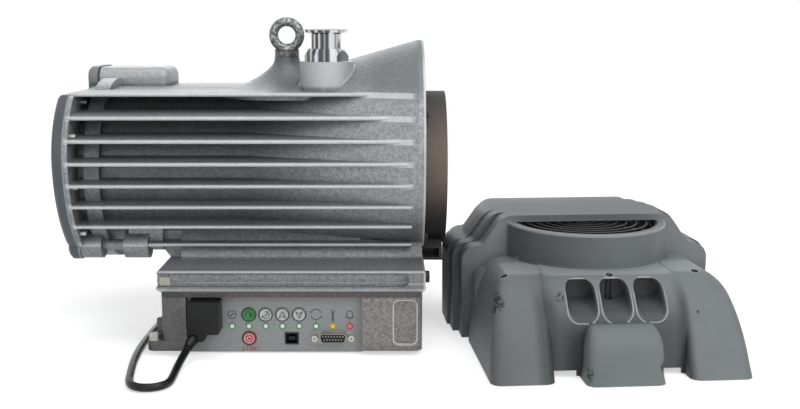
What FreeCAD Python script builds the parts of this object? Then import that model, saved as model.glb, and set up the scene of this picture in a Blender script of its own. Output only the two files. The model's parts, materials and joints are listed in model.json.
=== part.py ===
"""Dry scroll vacuum pump with its fan cowl taken off and its mains lead plugged in.

Frame: +X points from the motor end to the fan end, -Y to the control panel, +Z up.
The origin lies on the standing plane under the middle of the base. Lengths are millimetres.
"""
import FreeCAD, Part
import math
import os

os.makedirs("parts", exist_ok=True)
V = FreeCAD.Vector

# Overall stations along the machine
AXIS_Z = 155.0            # height of the crankshaft above the floor
FACE_X = 120.0            # machined face at the fan end of the casing
RIM_X = -204.0            # joint between casing and motor end cover
COVER_T = 11.0            # thickness of the motor end cover
FIT = 0.05                # radial running clearance
GAP = 0.3                 # free gap between neighbours that don't touch

# Casing barrel, flare and fins
BARREL_R = 80.0
FLARE_START_X = -50.0
FLARE_HALF_W = 114.0
FLARE_HALF_H = 104.0
FLARE_Z = 176.0
FLANGE_T = 6.0
ENV_HALF_W = 112.0        # fin tips lie on two half ellipses
ENV_Z = 171.0
ENV_UP = 88.0
ENV_DOWN = 112.0
FIN_COUNT = 8
FIN_FIRST_Z = 92.0
FIN_PITCH = 20.0
FIN_ROOT_Y = 40.0         # fins thicken from their tips to this distance from the axis
FIN_ROOT_T = 14.0
FIN_TIP_T = 3.4
FIN_END_X = 108.0
RIM_T = 3.5
BAND_R = 88.0             # bolting band round the barrel, a little way in from the rim
BAND_X0 = -193.0
BAND_X1 = -179.0

# Motor bay and scroll chamber inside the casing
BAY_R = 70.0
BAY_END_X = -42.0
BORE_R = 46.0
CHAMBER_R = 80.0
CHAMBER_X = -10.0
SEAT_R = 90.0
SEAT_X = 60.0

# Top fittings
DECK_Z = 232.0            # middle of the flat deck, level with the top fins
DECK_T = 4.0
DECK_END_X = 10.0
EYE_X = -13.0
EYE_BOSS_TOP = 263.6
EYE_BOSS_R = 12.0
EYE_BOSS_FOOT = 68.0
EYE_RING_R = 12.8
EYE_WIRE_R = 4.4
EYE_CENTRE_Z = 284.9
EYE_THREAD_R = 4.0
INLET_X = 28.0
INLET_Y = -40.0
INLET_BOSS_R = 25.5
PORT_LEN = 30.0
INLET_TOP = 291.0
INLET_BOSS_TOP = INLET_TOP - PORT_LEN
PORT_BORE_R = 12.0
PORT_TUBE_R = 14.0
PORT_FLANGE_R = 20.0
PORT_FLANGE_T = 3.0
PORT_SLOPE = 15.0
PORT_SEAT_R = 13.1
PORT_SEAT_H = 3.0
HEX_ACROSS = 36.0
HEX_H = 12.0
HEX_DOME = 5.5
STRAINER_LEN = 16.0
STRAINER_HOLE_R = 1.6
STRAINER_RING_R = 6.5
STRAINER_HOLES = 8
EYE_COLLAR_T = 7.5
EXHAUST_Y = 46.0
EXHAUST_Z = 196.0
EXHAUST_END_X = -243.0
COVER_EDGE_R = 3.0
TERMINAL_X1 = -134.0
TERMINAL_END_R = 8.0
TERMINAL_Y = 48.0
TERMINAL_HALF_W = 30.0
TERMINAL_ROUND = 11.0
TERMINAL_TOP = 253.5

# Lower lugs at the motor end
LUG_Y = 62.0
LUG_Z = 89.0
LUG_R = 13.5
LUG_RIB_R = 5.0
LUG_1_END = -184.0
LUG_2_X = -163.0
LUG_2_END = -140.0
NECK_X0 = -137.0
NECK_LOW_W = 76.0
NECK_HIGH_W = 60.0

# Pedestal and base
PED_X0 = -123.0
PED_HALF_W = 121.0
PED_Z0 = 58.0
PED_Z1 = 77.0
GROOVE_H = 13.0
GROOVE_D = 6.0
GROOVE_END_X = 105.0
BASE_X0 = -119.0
BASE_X1 = 117.0
BASE_HALF_W = 126.0
BASE_Z0 = 4.0
BASE_WALL = 5.0
BASE_TOP_T = 6.0
POST_IN = 17.0            # posts stand this far in from the sides
POST_FRONT_IN = 26.0      # and this far behind the front
FOOT_R = 12.0
FOOT_LUG_X = -132.5
FOOT_LUG_R = 7.0
FOOT_LUG_Y = BASE_HALF_W - FOOT_LUG_R
FOOT_LUG_TOP = 13.0
LUG_RIB_T = 6.0
PANEL_X0 = -96.0
PANEL_X1 = 63.0
PANEL_Z0 = 5.0
PANEL_Z1 = 54.0
PANEL_RECESS = 8.0
PANEL_Y = PANEL_RECESS - BASE_HALF_W
PANEL_T = 1.6
POCKET_X0 = 91.0
POCKET_X1 = 112.0
PLATE_T = 1.5

# Controls and sockets on the panel
LAMP_COUNT = 8
LAMP_X0 = -55.7
LAMP_PITCH = 15.26
LAMP_Z = 25.1
LAMP_R = 2.0
BUTTON_R = 6.6
BUTTON_RISE = 10.8
STOP_DROP = 11.4
BUTTON_PROUD = 1.0
BUTTON_TRAVEL = 0.5
BUTTON_COLLAR = 1.0
BUTTON_STEM_R = 1.6
BOARD_BEHIND = 10.0
BOARD_Y = PANEL_Y + BOARD_BEHIND
BOARD_X0 = -60.0
SWITCH_H = 4.0
USB_X = -1.7
USB_Z = 13.6
USB_W = 12.9
USB_H = 11.6
SUB_X = 36.0
SUB_Z = 14.8
SUB_SCREW = 16.65
INLET_SOCKET_X = -78.4
INLET_SOCKET_Z = 37.0
SOCKET_HALF_W = 13.6
SOCKET_HALF_H = 9.9
BLADE_PITCH = 7.0

# Fasteners
PED_BOLT_R = 4.0
PED_BOLT_REACH = 12.0
BOLT_PLAY = 0.2
LUG_BOLT_R = 3.0
LUG_BOLT_HEX = 5.0
LUG_WASHER_R = 6.0
SCREW_R = 2.6
SCREW_HEAD_R = 4.6
SCREW_HEAD_T = 4.0
COVER_SCREW_Z = 150.0
COVER_SCREW_PITCH = 46.0
COVER_SCREW_IN = 9.0
SOCKET_R = 2.2
SOCKET_DEPTH = 2.2
TAP_DEPTH = 10.0
SHROUD_SCREW_R = 5.5
SHROUD_SCREW_Y = -104.0
SHROUD_SCREW_Z = 68.0

# Motor, crankshaft and bearings
STATOR_X0 = -172.0
STATOR_X1 = -88.0
STATOR_BORE = 38.0
WINDING_LEN = 13.0
ROTOR_AIR_GAP = 0.6
SHAFT_R = 11.0
REAR_SEAT_R = 6.0
REAR_BEARING_R = 16.0
REAR_BEARING_X = -200.0
REAR_BEARING_T = 10.0
FRONT_SEAT_R = 12.5
FRONT_BEARING_R = 26.0
FRONT_BEARING_X = -34.0
FRONT_BEARING_T = 15.0
CARRIER_T = 8.0
CRANK_DISC_R = 17.0
CRANK_DISC_T = 6.0
CRANK_PIN_R = 8.0
CRANK_PIN_LEN = 18.0
PIN_BEARING_R = 12.0

STATOR_SLOTS = 18
ROLLER_COUNT = 10
ROLLER_SHARE = 0.4
ROLLER_INSET = 1.5
BELLOWS_R = 30.0

# Scrolls: both walls are involutes of one base circle
WALL_T = 4.0
WALL_PLAY = 0.15
WALL_PITCH = 16.0
WALL_TURNS = 3.25
WALL_START_TURN = 0.85
WALL_H = 30.0
ORBIT_R = WALL_PITCH / 2.0 - WALL_T - WALL_PLAY
ORBIT_PLATE_T = 11.0
ORBIT_PLATE_R = 74.0
FIXED_PLATE_T = 12.0
TIP_GAP = 0.3
ORBIT_PLATE_X = SEAT_X - WALL_H - TIP_GAP - ORBIT_PLATE_T
SCROLL_SCREW_IN = 5.0
SCROLL_SCREW_R = SEAT_R - SCROLL_SCREW_IN
SCROLL_SCREW_COUNT = 6
INVOLUTE_ARCS_PER_TURN = 10
COOLING_FIN_T = 3.0
COOLING_HALF_W = 66.0
COOLING_FIN_COUNT = 12

# Cooling fan at the fan end
FAN_RING_R = 75.5
FAN_RING_WALL = 3.5
FAN_RING_LEN = 21.5
FAN_HUB_R = 24.0
FAN_TIP_GAP = 2.0
FAN_BLADES = 7
FAN_FLANGE_T = 3.0
FAN_POST_IN = 7.0
FAN_POST_R = SEAT_R - FAN_POST_IN
FAN_POSTS = 4
FAN_PIN_R = 3.0
CARRIER_SCREW_R = 55.0
CARRIER_SCREWS = 6

# Fan cowl, standing on its open side beside the pump; u across, v up as fitted, w away from the pump
COWL_X = 273.5
COWL_Y = -55.0
COWL_TURN = 4.5
COWL_WALL = 3.0
COWL_H = 118.0            # front edge of the raised back; each slat behind lies a little lower
COWL_FALL = 1.2
COWL_WING_H = 101.0
COWL_MOUTH_H = 111.5
COWL_HALF_W = 127.0
COWL_WIDE_V = 55.0
COWL_OVAL = 150.0
COWL_WING_V = -30.0
COWL_BACK_V = 130.0
COWL_CROWN_IN = 39.0      # from the side of a slat to where its flat top starts
COWL_WING_IN = 58.0
COWL_SLATS = 7
COWL_GROOVE = 4.0
COWL_GROOVE_D = 6.0
COWL_LINE_D = 1.6
COWL_SHOULDER_W = 81.0
COWL_FOOT_V = -145.0
COWL_DRUM_V = -125.0
COWL_DRUM_U = 68.0
COWL_LEG_IN = 58.0
COWL_LEG_OUT = 113.0
COWL_BULGE_U = 34.0
COWL_BULGE_V = -154.0
COWL_BULGE_H = 46.0
COWL_COLLAR_R = 75.0
COWL_MOUTH_R = 68.0
COWL_VENT_PITCH = 30.0
COWL_VENT_W = 26.5
COWL_VENT_Z0 = 45.0
COWL_VENT_Z1 = 77.0
COWL_VENT_DEEP = 40.0
COWL_VENT_RISE = 14.0
# Heights as shares, with how far front and sides of the skirt have drawn back there
DRUM_CURVE = [(0.0, 0.0, 0.0), (0.4, 1.5, 0.0), (0.62, 6.0, 1.0), (0.78, 14.0, 2.5), (0.9, 25.0, 5.0),
              (0.97, 36.0, 9.0), (1.0, 48.0, 14.0)]
LEG_CURVE = [(0.0, 0.0, 0.0), (0.3, 12.0, 2.0), (0.55, 23.0, 5.0), (0.72, 33.0, 8.0), (0.86, 44.0, 12.0),
             (0.95, 56.0, 18.0), (1.0, 70.0, 27.0)]
BULGE_CURVE = [(0.0, 0.0, 0.0), (0.5, 3.0, 1.5), (0.8, 7.0, 3.0), (0.94, 13.0, 5.5), (1.0, 22.0, 9.0)]
GUARD_RINGS = 7
GUARD_FIRST_R = 12.0
GUARD_WIRE_R = 1.0

# Mains lead: plug in the panel, loop on the floor, spare length coiled behind the pump
LEAD_R = 3.5
CONNECTOR_DEPTH = 21.0
CONNECTOR_FRONT_Y = PANEL_Y - CONNECTOR_DEPTH
RELIEF_LEN = 20.0
RELIEF_TIP = 9.0
RELIEF_R = 6.2
RELIEF_WALL = 0.9
COIL_R = 38.5
COIL_H = 21.0
COIL_CENTRE = V(-52.0, 200.0, 0.0)
PLUG_HALF_H = 13.0
PLUG_R = 18.5
PLUG_LEN = 44.0
PLUG_PIN_R = 2.4
PLUG_PIN_LEN = 19.0
PLUG_PIN_HALF = 9.5
LEAD_ROUTE = [V(-89.0, -137.0, 17.0), V(-93.0, -149.0, 10.5), V(-95.0, -168.0, 6.5), V(-95.0, -191.0, 4.3),
              V(-95.0, -211.0, 3.5), V(-104.9, -220.9, 3.5), V(-118.9, -220.9, 3.5), V(-128.5, -211.0, 3.5),
              V(-133.0, -186.0, 3.5), V(-138.5, -150.0, 3.5), V(-141.5, -106.0, 3.5),
              V(-140.5, -60.0, 3.5), V(-139.0, -12.0, 3.5), V(-141.0, 40.0, 3.5), V(-142.0, 90.0, 3.5),
              V(-135.0, 128.0, 3.5), V(-113.0, 152.0, 5.5), V(-84.0, 158.5, 8.5), V(-52.0, 158.5, 10.5)]
TAIL_ROUTE = [V(-10.0, 200.0, 3.5), V(-9.0, 224.0, 3.5), V(4.0, 247.0, 5.0), V(30.0, 254.0, 8.5),
              V(53.0, 241.0, 12.5), V(62.0, 214.0, 13.2)]


def box(x0, x1, y0, y1, z0, z1):
    """Block between two opposite corners."""
    return Part.makeBox(x1 - x0, y1 - y0, z1 - z0, V(x0, y0, z0))


def cyl_x(radius, x0, x1, y=0.0, z=AXIS_Z):
    """Round bar along X."""
    return Part.makeCylinder(radius, x1 - x0, V(x0, y, z), V(1, 0, 0))


def cyl_y(radius, y0, y1, x, z):
    """Round bar along Y."""
    return Part.makeCylinder(radius, y1 - y0, V(x, y0, z), V(0, 1, 0))


def cyl_z(radius, z0, z1, x, y):
    """Round bar along Z."""
    return Part.makeCylinder(radius, z1 - z0, V(x, y, z0), V(0, 0, 1))


def ring_x(outer, inner, x0, x1, y=0.0, z=AXIS_Z):
    """Plain ring along X."""
    return cyl_x(outer, x0, x1, y, z).cut(cyl_x(inner, x0 - 1, x1 + 1, y, z))


def join(shapes):
    """One solid of several that touch or overlap."""
    return shapes[0].multiFuse(shapes[1:]).removeSplitter()


def group(shapes):
    """Several separate solids kept in one node."""
    return Part.makeCompound(shapes)


def spun(shape, count, turn_to=V(1, 0, 0), centre=V(0, 0, AXIS_Z), start=0.0):
    """Copies of a shape spaced evenly round an axis."""
    copies = []
    for k in range(count):
        copy = shape.copy()
        copy.rotate(centre, turn_to, start + 360.0 * k / count)
        copies.append(copy)
    return copies


def rounded_wire(points, radii):
    """Closed outline through corner points, each corner an arc of its own radius."""
    edges = []
    starts = []
    ends = []
    mids = []
    count = len(points)
    for i in range(count):
        here = points[i]
        to_prev = (points[i - 1] - here).normalize()
        to_next = (points[(i + 1) % count] - here).normalize()
        half = to_prev.getAngle(to_next) / 2.0
        reach = radii[i] / math.tan(half)
        bisector = (to_prev + to_next).normalize()
        starts.append(here + to_prev * reach)
        ends.append(here + to_next * reach)
        mids.append(here + bisector * (radii[i] / math.sin(half) - radii[i]))
    for i in range(count):
        edges.append(Part.Arc(starts[i], mids[i], ends[i]).toShape())
        edges.append(Part.LineSegment(ends[i], starts[(i + 1) % count]).toShape())
    return Part.Wire(edges)


def rounded_block_x(x0, x1, y0, y1, z0, z1, radius):
    """Block along X whose four long edges are rounded."""
    corners = [V(x0, y0, z0), V(x0, y1, z0), V(x0, y1, z1), V(x0, y0, z1)]
    face = Part.Face(rounded_wire(corners, [radius] * 4))
    return face.extrude(V(x1 - x0, 0, 0))


def rounded_block_y(x0, x1, y0, y1, z0, z1, radius):
    """Block along Y whose four long edges are rounded."""
    corners = [V(x0, y0, z0), V(x1, y0, z0), V(x1, y0, z1), V(x0, y0, z1)]
    face = Part.Face(rounded_wire(corners, [radius] * 4))
    return face.extrude(V(0, y1 - y0, 0))


def rounded_block_z(x0, x1, y0, y1, z0, z1, radius):
    """Block along Z whose four long edges are rounded."""
    corners = [V(x0, y0, z0), V(x1, y0, z0), V(x1, y1, z0), V(x0, y1, z0)]
    face = Part.Face(rounded_wire(corners, [radius] * 4))
    return face.extrude(V(0, 0, z1 - z0))


def ellipse_wire(x, half_w, half_h, centre_z):
    """Ellipse in a plane across X; the wide axis comes first, as the kernel wants it."""
    centre = V(x, 0, centre_z)
    if half_w >= half_h:
        curve = Part.Ellipse(V(x, half_w, centre_z), V(x, 0, centre_z + half_h), centre)
    else:
        curve = Part.Ellipse(V(x, 0, centre_z + half_h), V(x, -half_w, centre_z), centre)
    return Part.Wire([curve.toShape()])


def envelope_half_width(z):
    """Half width of the finned body at a height, from the two half ellipses."""
    reach = ENV_UP if z > ENV_Z else ENV_DOWN
    share = (z - ENV_Z) / reach
    return ENV_HALF_W * math.sqrt(max(0.0, 1.0 - share * share))


def save(name, shape):
    """Write one node and print how many solids and how much volume it holds."""
    for solid in shape.Solids:
        assert solid.isValid(), name
    shape.exportStep("parts/" + name + ".step")
    print(name, len(shape.Solids), "solids", round(shape.Volume / 1000.0, 2), "cm3")


def prism_yz(points, x0, x1, radii):
    """Outline in the plane across X, carried along X."""
    corners = [V(x0, y, z) for y, z in points]
    return Part.Face(rounded_wire(corners, radii)).extrude(V(x1 - x0, 0, 0))


def rim_outline(x0, x1, grow=0.0):
    """Oval of the motor end with its flat top, top lobe and two lower lugs."""
    step = 24
    top = DECK_Z + grow
    points = []
    for k in range(step + 1):
        share = -1.0 + 2.0 * k / step
        z = ENV_Z + share * (ENV_DOWN * 0.72 if share < 0 else top - ENV_Z)
        points.append(V(x0, -(envelope_half_width(z) + grow), z))
    left = Part.BSplineCurve()
    left.interpolate(points)
    mirror = [V(p.x, -p.y, p.z) for p in reversed(points)]
    right = Part.BSplineCurve()
    right.interpolate(mirror)
    lid = Part.LineSegment(points[-1], mirror[0])
    sole = Part.LineSegment(mirror[-1], points[0])
    wire = Part.Wire([left.toShape(), lid.toShape(), right.toShape(), sole.toShape()])
    body = Part.Face(wire).extrude(V(x1 - x0, 0, 0))
    reach = TERMINAL_HALF_W + grow
    lobe = rounded_block_x(x0, x1, TERMINAL_Y - reach, TERMINAL_Y + reach, DECK_Z - 40, TERMINAL_TOP + grow,
                           TERMINAL_ROUND)
    lugs = [cyl_x(LUG_R + grow, x0, x1, side * LUG_Y, LUG_Z) for side in (-1, 1)]
    return join([body, lobe] + lugs)


def fin(z, side, x0, root_t):
    """One cooling fin: a plate thick at its root, with a rounded tip, whose far end dies into the flare."""
    reach = side * (envelope_half_width(z) - FIN_TIP_T / 2.0)
    root = side * FIN_ROOT_Y
    tip = FIN_TIP_T / 2.0
    nose = V(x0, reach + side * tip, z)
    edges = [Part.LineSegment(V(x0, root, z - root_t / 2.0), V(x0, reach, z - tip)).toShape(),
             Part.Arc(V(x0, reach, z - tip), nose, V(x0, reach, z + tip)).toShape(),
             Part.LineSegment(V(x0, reach, z + tip), V(x0, root, z + root_t / 2.0)).toShape(),
             Part.LineSegment(V(x0, root, z + root_t / 2.0), V(x0, root, z - root_t / 2.0)).toShape()]
    return Part.Face(Part.Wire(edges)).extrude(V(FIN_END_X - x0, 0, 0))


def flare_outer():
    """Body that opens from the round barrel to the oval fan-end flange."""
    small = ellipse_wire(FLARE_START_X, BARREL_R - 1.0, BARREL_R - 1.5, AXIS_Z)
    large = ellipse_wire(FACE_X - FLANGE_T, FLARE_HALF_W, FLARE_HALF_H, FLARE_Z)
    flare = Part.makeLoft([small, large], True, True)
    rim = Part.Face(large).extrude(V(FLANGE_T, 0, 0))
    return flare, rim


def eye_boss():
    """Boss of the lifting eye: its side sweeps out onto the deck along two tangent arcs."""
    low = DECK_Z - 6.0
    rest = DECK_Z + 1.2
    foot = EYE_BOSS_FOOT
    top = EYE_BOSS_TOP
    across = foot - EYE_BOSS_R
    rise = top - rest
    c = math.sqrt(0.5)
    wide_r = (across * c - (1.0 - c) * rise) / (2.0 * c - 1.0)
    tight_r = (rise - (1.0 - c) * wide_r) / c
    tight = V(EYE_BOSS_R + tight_r, 0, top)
    wide = V(foot, 0, rest + wide_r)
    meet = tight + V(-c, 0, -c) * tight_r
    tight_mid = tight + V(-math.cos(math.pi / 8), 0, -math.sin(math.pi / 8)) * tight_r
    wide_mid = wide + V(-math.sin(math.pi / 8), 0, -math.cos(math.pi / 8)) * wide_r
    outline = [Part.LineSegment(V(0, 0, low), V(foot, 0, low)).toShape(),
               Part.LineSegment(V(foot, 0, low), V(foot, 0, rest)).toShape(),
               Part.Arc(V(foot, 0, rest), wide_mid, meet).toShape(),
               Part.Arc(meet, tight_mid, V(EYE_BOSS_R, 0, top)).toShape(),
               Part.LineSegment(V(EYE_BOSS_R, 0, top), V(0, 0, top)).toShape(),
               Part.LineSegment(V(0, 0, top), V(0, 0, low)).toShape()]
    turned = Part.Face(Part.Wire(outline)).revolve(V(0, 0, 0), V(0, 0, 1), 360)
    turned.translate(V(EYE_X, 0, 0))
    return turned


def pedestal():
    """Ledge that carries the casing, with its long side grooves and the neck above it."""
    block = rounded_block_y(PED_X0, FACE_X, -PED_HALF_W, PED_HALF_W, PED_Z0, PED_Z1, 3.0)
    neck_top = FIN_FIRST_Z + 14.0
    neck_points = [(-NECK_LOW_W, PED_Z1 - 2), (NECK_LOW_W, PED_Z1 - 2),
                   (NECK_HIGH_W, neck_top), (-NECK_HIGH_W, neck_top)]
    neck = prism_yz(neck_points, PED_X0 + 14.0, FACE_X - 2.0, [4.0] * 4)
    y = -NECK_HIGH_W
    sweep = Part.makePolygon([V(NECK_X0, y, neck_top), V(NECK_X0, y, neck_top - 10),
                              V(PED_X0 + 2, y, PED_Z1 - 1), V(PED_X0 + 20, y, PED_Z1 - 1),
                              V(PED_X0 + 20, y, neck_top), V(NECK_X0, y, neck_top)])
    front = Part.Face(sweep).extrude(V(0, 2 * NECK_HIGH_W, 0))
    body = join([block, neck, front])
    z0 = PED_Z0 + 4.0
    for side in (-1, 1):
        y0 = side * PED_HALF_W - GROOVE_D
        slot = rounded_block_y(PED_X0 - 20, GROOVE_END_X, y0, y0 + 2 * GROOVE_D, z0, z0 + GROOVE_H,
                               GROOVE_H * 0.48)
        rib = cyl_x(1.2, PED_X0, GROOVE_END_X - 4, side * (PED_HALF_W - GROOVE_D), z0 + GROOVE_H * 0.35)
        body = body.cut(slot).fuse(rib)
    return body


def terminal_hump():
    """Box for the motor leads on the deck, in line with the lobe of the end cover."""
    y0 = TERMINAL_Y - TERMINAL_HALF_W + 1.0
    y1 = TERMINAL_Y + TERMINAL_HALF_W - 1.0
    outline = [(y0, DECK_Z - 2), (y1, DECK_Z - 2), (y1, TERMINAL_TOP - 1), (y0, TERMINAL_TOP - 1)]
    hump = prism_yz(outline, RIM_X + 2, TERMINAL_X1, [0.2, 0.2, TERMINAL_ROUND - 1, TERMINAL_ROUND - 1])
    end = [e for e in hump.Edges if e.BoundBox.XMin > TERMINAL_X1 - 0.01 and e.BoundBox.ZMax > DECK_Z + 1]
    return hump.makeFillet(TERMINAL_END_R, end)


def casing():
    """Finned aluminium casting that holds the motor at one end and the scrolls at the other."""
    ribs = [cyl_x(BAND_R, BAND_X0, BAND_X1)]
    for k in range(FIN_COUNT):
        start = RIM_X + 1.0 if k else LUG_2_END + 2.0
        root_t = FIN_ROOT_T if 0 < k < FIN_COUNT - 1 else DECK_T
        for side in (-1, 1):
            ribs.append(fin(FIN_FIRST_Z + k * FIN_PITCH, side, start, root_t))
    flare, flange = flare_outer()
    body = cyl_x(BARREL_R, RIM_X, FACE_X - FLANGE_T).multiFuse(ribs).fuse(flare).fuse(flange)
    deck_half = envelope_half_width(DECK_Z) - 8.0
    deck = box(RIM_X + 1, DECK_END_X, -deck_half, deck_half, DECK_Z - DECK_T / 2.0, DECK_Z + DECK_T / 2.0)
    boss = cyl_z(INLET_BOSS_R, DECK_Z - 20, INLET_BOSS_TOP, INLET_X, INLET_Y)
    body = body.multiFuse([deck, boss, terminal_hump(), rim_outline(RIM_X, RIM_X + RIM_T, -1.0)])
    body = body.multiFuse([pedestal(), eye_boss()])
    body = body.multiFuse(lower_lugs())
    return body.cut(join(casing_hollows())).removeSplitter()


def lower_lugs():
    """Two rows of round lugs under the motor end, with the rib that joins each row."""
    solids = []
    for side in (-1, 1):
        y = side * LUG_Y
        solids.append(cyl_x(LUG_R - 1, RIM_X, LUG_1_END, y, LUG_Z))
        solids.append(cyl_x(LUG_R - 1, LUG_2_X, LUG_2_END, y, LUG_Z))
        solids.append(cyl_x(LUG_RIB_R, RIM_X, NECK_X0 + 10, y, LUG_Z))
        solids.append(box(LUG_2_X + 4, NECK_X0 + 10, y - LUG_RIB_R, y + LUG_RIB_R, LUG_Z - 2, LUG_Z + 22))
    return solids


def casing_hollows():
    """Motor bay, shaft bore, scroll chamber, inlet and exhaust ways and the tapped holes."""
    cuts = [cyl_x(BAY_R, RIM_X - 1, BAY_END_X),
            cyl_x(BORE_R, BAY_END_X - 1, CHAMBER_X + 1),
            cyl_x(CHAMBER_R, CHAMBER_X, SEAT_X),
            cyl_x(SEAT_R, SEAT_X - 0.01, FACE_X + 1)]
    cuts.append(cyl_z(PORT_BORE_R, AXIS_Z + 0.6 * CHAMBER_R, INLET_BOSS_TOP + 1, INLET_X, INLET_Y))
    cuts.append(cyl_z(EYE_THREAD_R, EYE_BOSS_TOP - 18, EYE_BOSS_TOP + 1, EYE_X, 0))
    carrier_hole = cyl_x(SCREW_R, BAY_END_X - 1, BAY_END_X + TAP_DEPTH, 0, AXIS_Z + CARRIER_SCREW_R)
    cuts += spun(carrier_hole, CARRIER_SCREWS)
    scroll_hole = cyl_x(SCREW_R, SEAT_X - TAP_DEPTH, SEAT_X + 1, 0, AXIS_Z + SCROLL_SCREW_R)
    cuts += spun(scroll_hole, SCROLL_SCREW_COUNT, start=30.0)
    for y, z in cover_screw_places():
        cuts.append(cyl_x(SCREW_R, RIM_X - 1, RIM_X + TAP_DEPTH, y, z))
    for y, z in cowl_screw_places():
        cuts.append(cyl_x(SCREW_R, FACE_X - TAP_DEPTH, FACE_X + 1, y, z))
    cuts.append(cyl_x(SCREW_R, FACE_X - TAP_DEPTH, FACE_X + 1, SHROUD_SCREW_Y, SHROUD_SCREW_Z))
    for x, y in pedestal_bolt_places():
        cuts.append(cyl_z(PED_BOLT_R + BOLT_PLAY, PED_Z0 - 1, PED_Z0 + PED_BOLT_REACH + 1, x, y))
    return cuts


def cover_screw_places():
    """Where the motor end cover is screwed to the rim."""
    places = []
    for k in (-1, 0, 1):
        z = COVER_SCREW_Z + k * COVER_SCREW_PITCH
        reach = envelope_half_width(z) - COVER_SCREW_IN
        places += [(-reach, z), (reach, z)]
    places += [(-58.0, DECK_Z - 8.0), (58.0, DECK_Z - 8.0), (-LUG_Y, LUG_Z - 6), (LUG_Y, LUG_Z - 6)]
    return places


def cowl_screw_places():
    """Tapped holes in the fan-end face that take the cowl's three screws."""
    return [(-92.0, 216.0), (92.0, 216.0), (0.0, FLARE_Z + FLARE_HALF_H - 10.0)]


def end_cover():
    """Motor end cover with its rear bearing boss and the exhaust way through it."""
    plate = rim_outline(RIM_X - COVER_T, RIM_X)
    face = [e for e in plate.Edges if abs(e.BoundBox.XMin - (RIM_X - COVER_T)) < 0.01
            and abs(e.BoundBox.XMax - (RIM_X - COVER_T)) < 0.01]
    plate = plate.makeChamfer(COVER_EDGE_R, face)
    boss = cyl_x(REAR_BEARING_R + 7.0, RIM_X - 1, REAR_BEARING_X + REAR_BEARING_T)
    spigot = ring_x(BAY_R - FIT, BAY_R - 6.0, RIM_X - 1, RIM_X + 5)
    cover = join([plate, boss, spigot])
    cuts = [cyl_x(REAR_BEARING_R, REAR_BEARING_X, REAR_BEARING_X + REAR_BEARING_T + 1)]
    cuts.append(cyl_x(PORT_BORE_R, RIM_X - COVER_T - 1, RIM_X + 1, EXHAUST_Y, EXHAUST_Z))
    for y, z in cover_screw_places():
        cuts.append(cyl_x(SCREW_R + 0.3, RIM_X - COVER_T - 1, RIM_X + 1, y, z))
        cuts.append(cyl_x(SCREW_HEAD_R + 0.4, RIM_X - COVER_T - 1, RIM_X - COVER_T + SCREW_HEAD_T, y, z))
    return cover.cut(join(cuts))


def socket_screw_x(x_head, y, z, length, toward):
    """Socket-head screw along X; toward is +1 when its shank runs to +X."""
    head = cyl_x(SCREW_HEAD_R, min(x_head, x_head + toward * SCREW_HEAD_T),
                 max(x_head, x_head + toward * SCREW_HEAD_T), y, z)
    shank_x = x_head + toward * SCREW_HEAD_T
    shank = cyl_x(SCREW_R - 0.1, min(shank_x, shank_x + toward * length),
                  max(shank_x, shank_x + toward * length), y, z)
    key_x = x_head + toward * SOCKET_DEPTH
    key = cyl_x(SOCKET_R, min(x_head, key_x) - 0.01, max(x_head, key_x) + 0.01, y, z)
    return join([head, shank]).cut(key)


def end_cover_screws():
    """Ring of screws through the motor end cover."""
    x = RIM_X - COVER_T
    length = COVER_T - SCREW_HEAD_T + TAP_DEPTH - 1
    return group([socket_screw_x(x, y, z, length, 1) for y, z in cover_screw_places()])


def port(length):
    """Small-flange port, open end up: flange with sloping back and ring seat, tube, hexagon foot."""
    back = PORT_FLANGE_T + (PORT_FLANGE_R - PORT_TUBE_R) * math.tan(math.radians(PORT_SLOPE))
    outline = [V(PORT_BORE_R, 0, -PORT_SEAT_H), V(PORT_SEAT_R, 0, -PORT_SEAT_H), V(PORT_SEAT_R, 0, 0),
               V(PORT_FLANGE_R, 0, 0), V(PORT_FLANGE_R, 0, -PORT_FLANGE_T), V(PORT_TUBE_R, 0, -back),
               V(PORT_TUBE_R, 0, -length), V(PORT_BORE_R, 0, -length)]
    edges = [Part.LineSegment(outline[i], outline[(i + 1) % 8]).toShape() for i in range(8)]
    tube = Part.Face(Part.Wire(edges)).revolve(V(0, 0, 0), V(0, 0, 1), 360)
    hexagon = hexagon_z(HEX_ACROSS / 2.0, -length, HEX_H - length, 0, 0)
    flat_r = HEX_ACROSS / 2.0
    dome = Part.makeCone(flat_r + HEX_DOME, flat_r - 1.0, HEX_H, V(0, 0, -length), V(0, 0, 1))
    hole = cyl_z(PORT_BORE_R, -length - 1, HEX_H - length + 1, 0, 0)
    return join([tube, hexagon.common(dome).cut(hole)])


def inlet_port():
    """Inlet port that stands on the boss on top of the casing."""
    shape = port(PORT_LEN)
    shape.translate(V(INLET_X, INLET_Y, INLET_TOP))
    return shape


def exhaust_port():
    """Exhaust port that points away from the motor end cover."""
    shape = port(RIM_X - COVER_T - EXHAUST_END_X)
    shape.rotate(V(0, 0, 0), V(0, 1, 0), -90)
    shape.translate(V(EXHAUST_END_X, EXHAUST_Y, EXHAUST_Z))
    return shape


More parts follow.
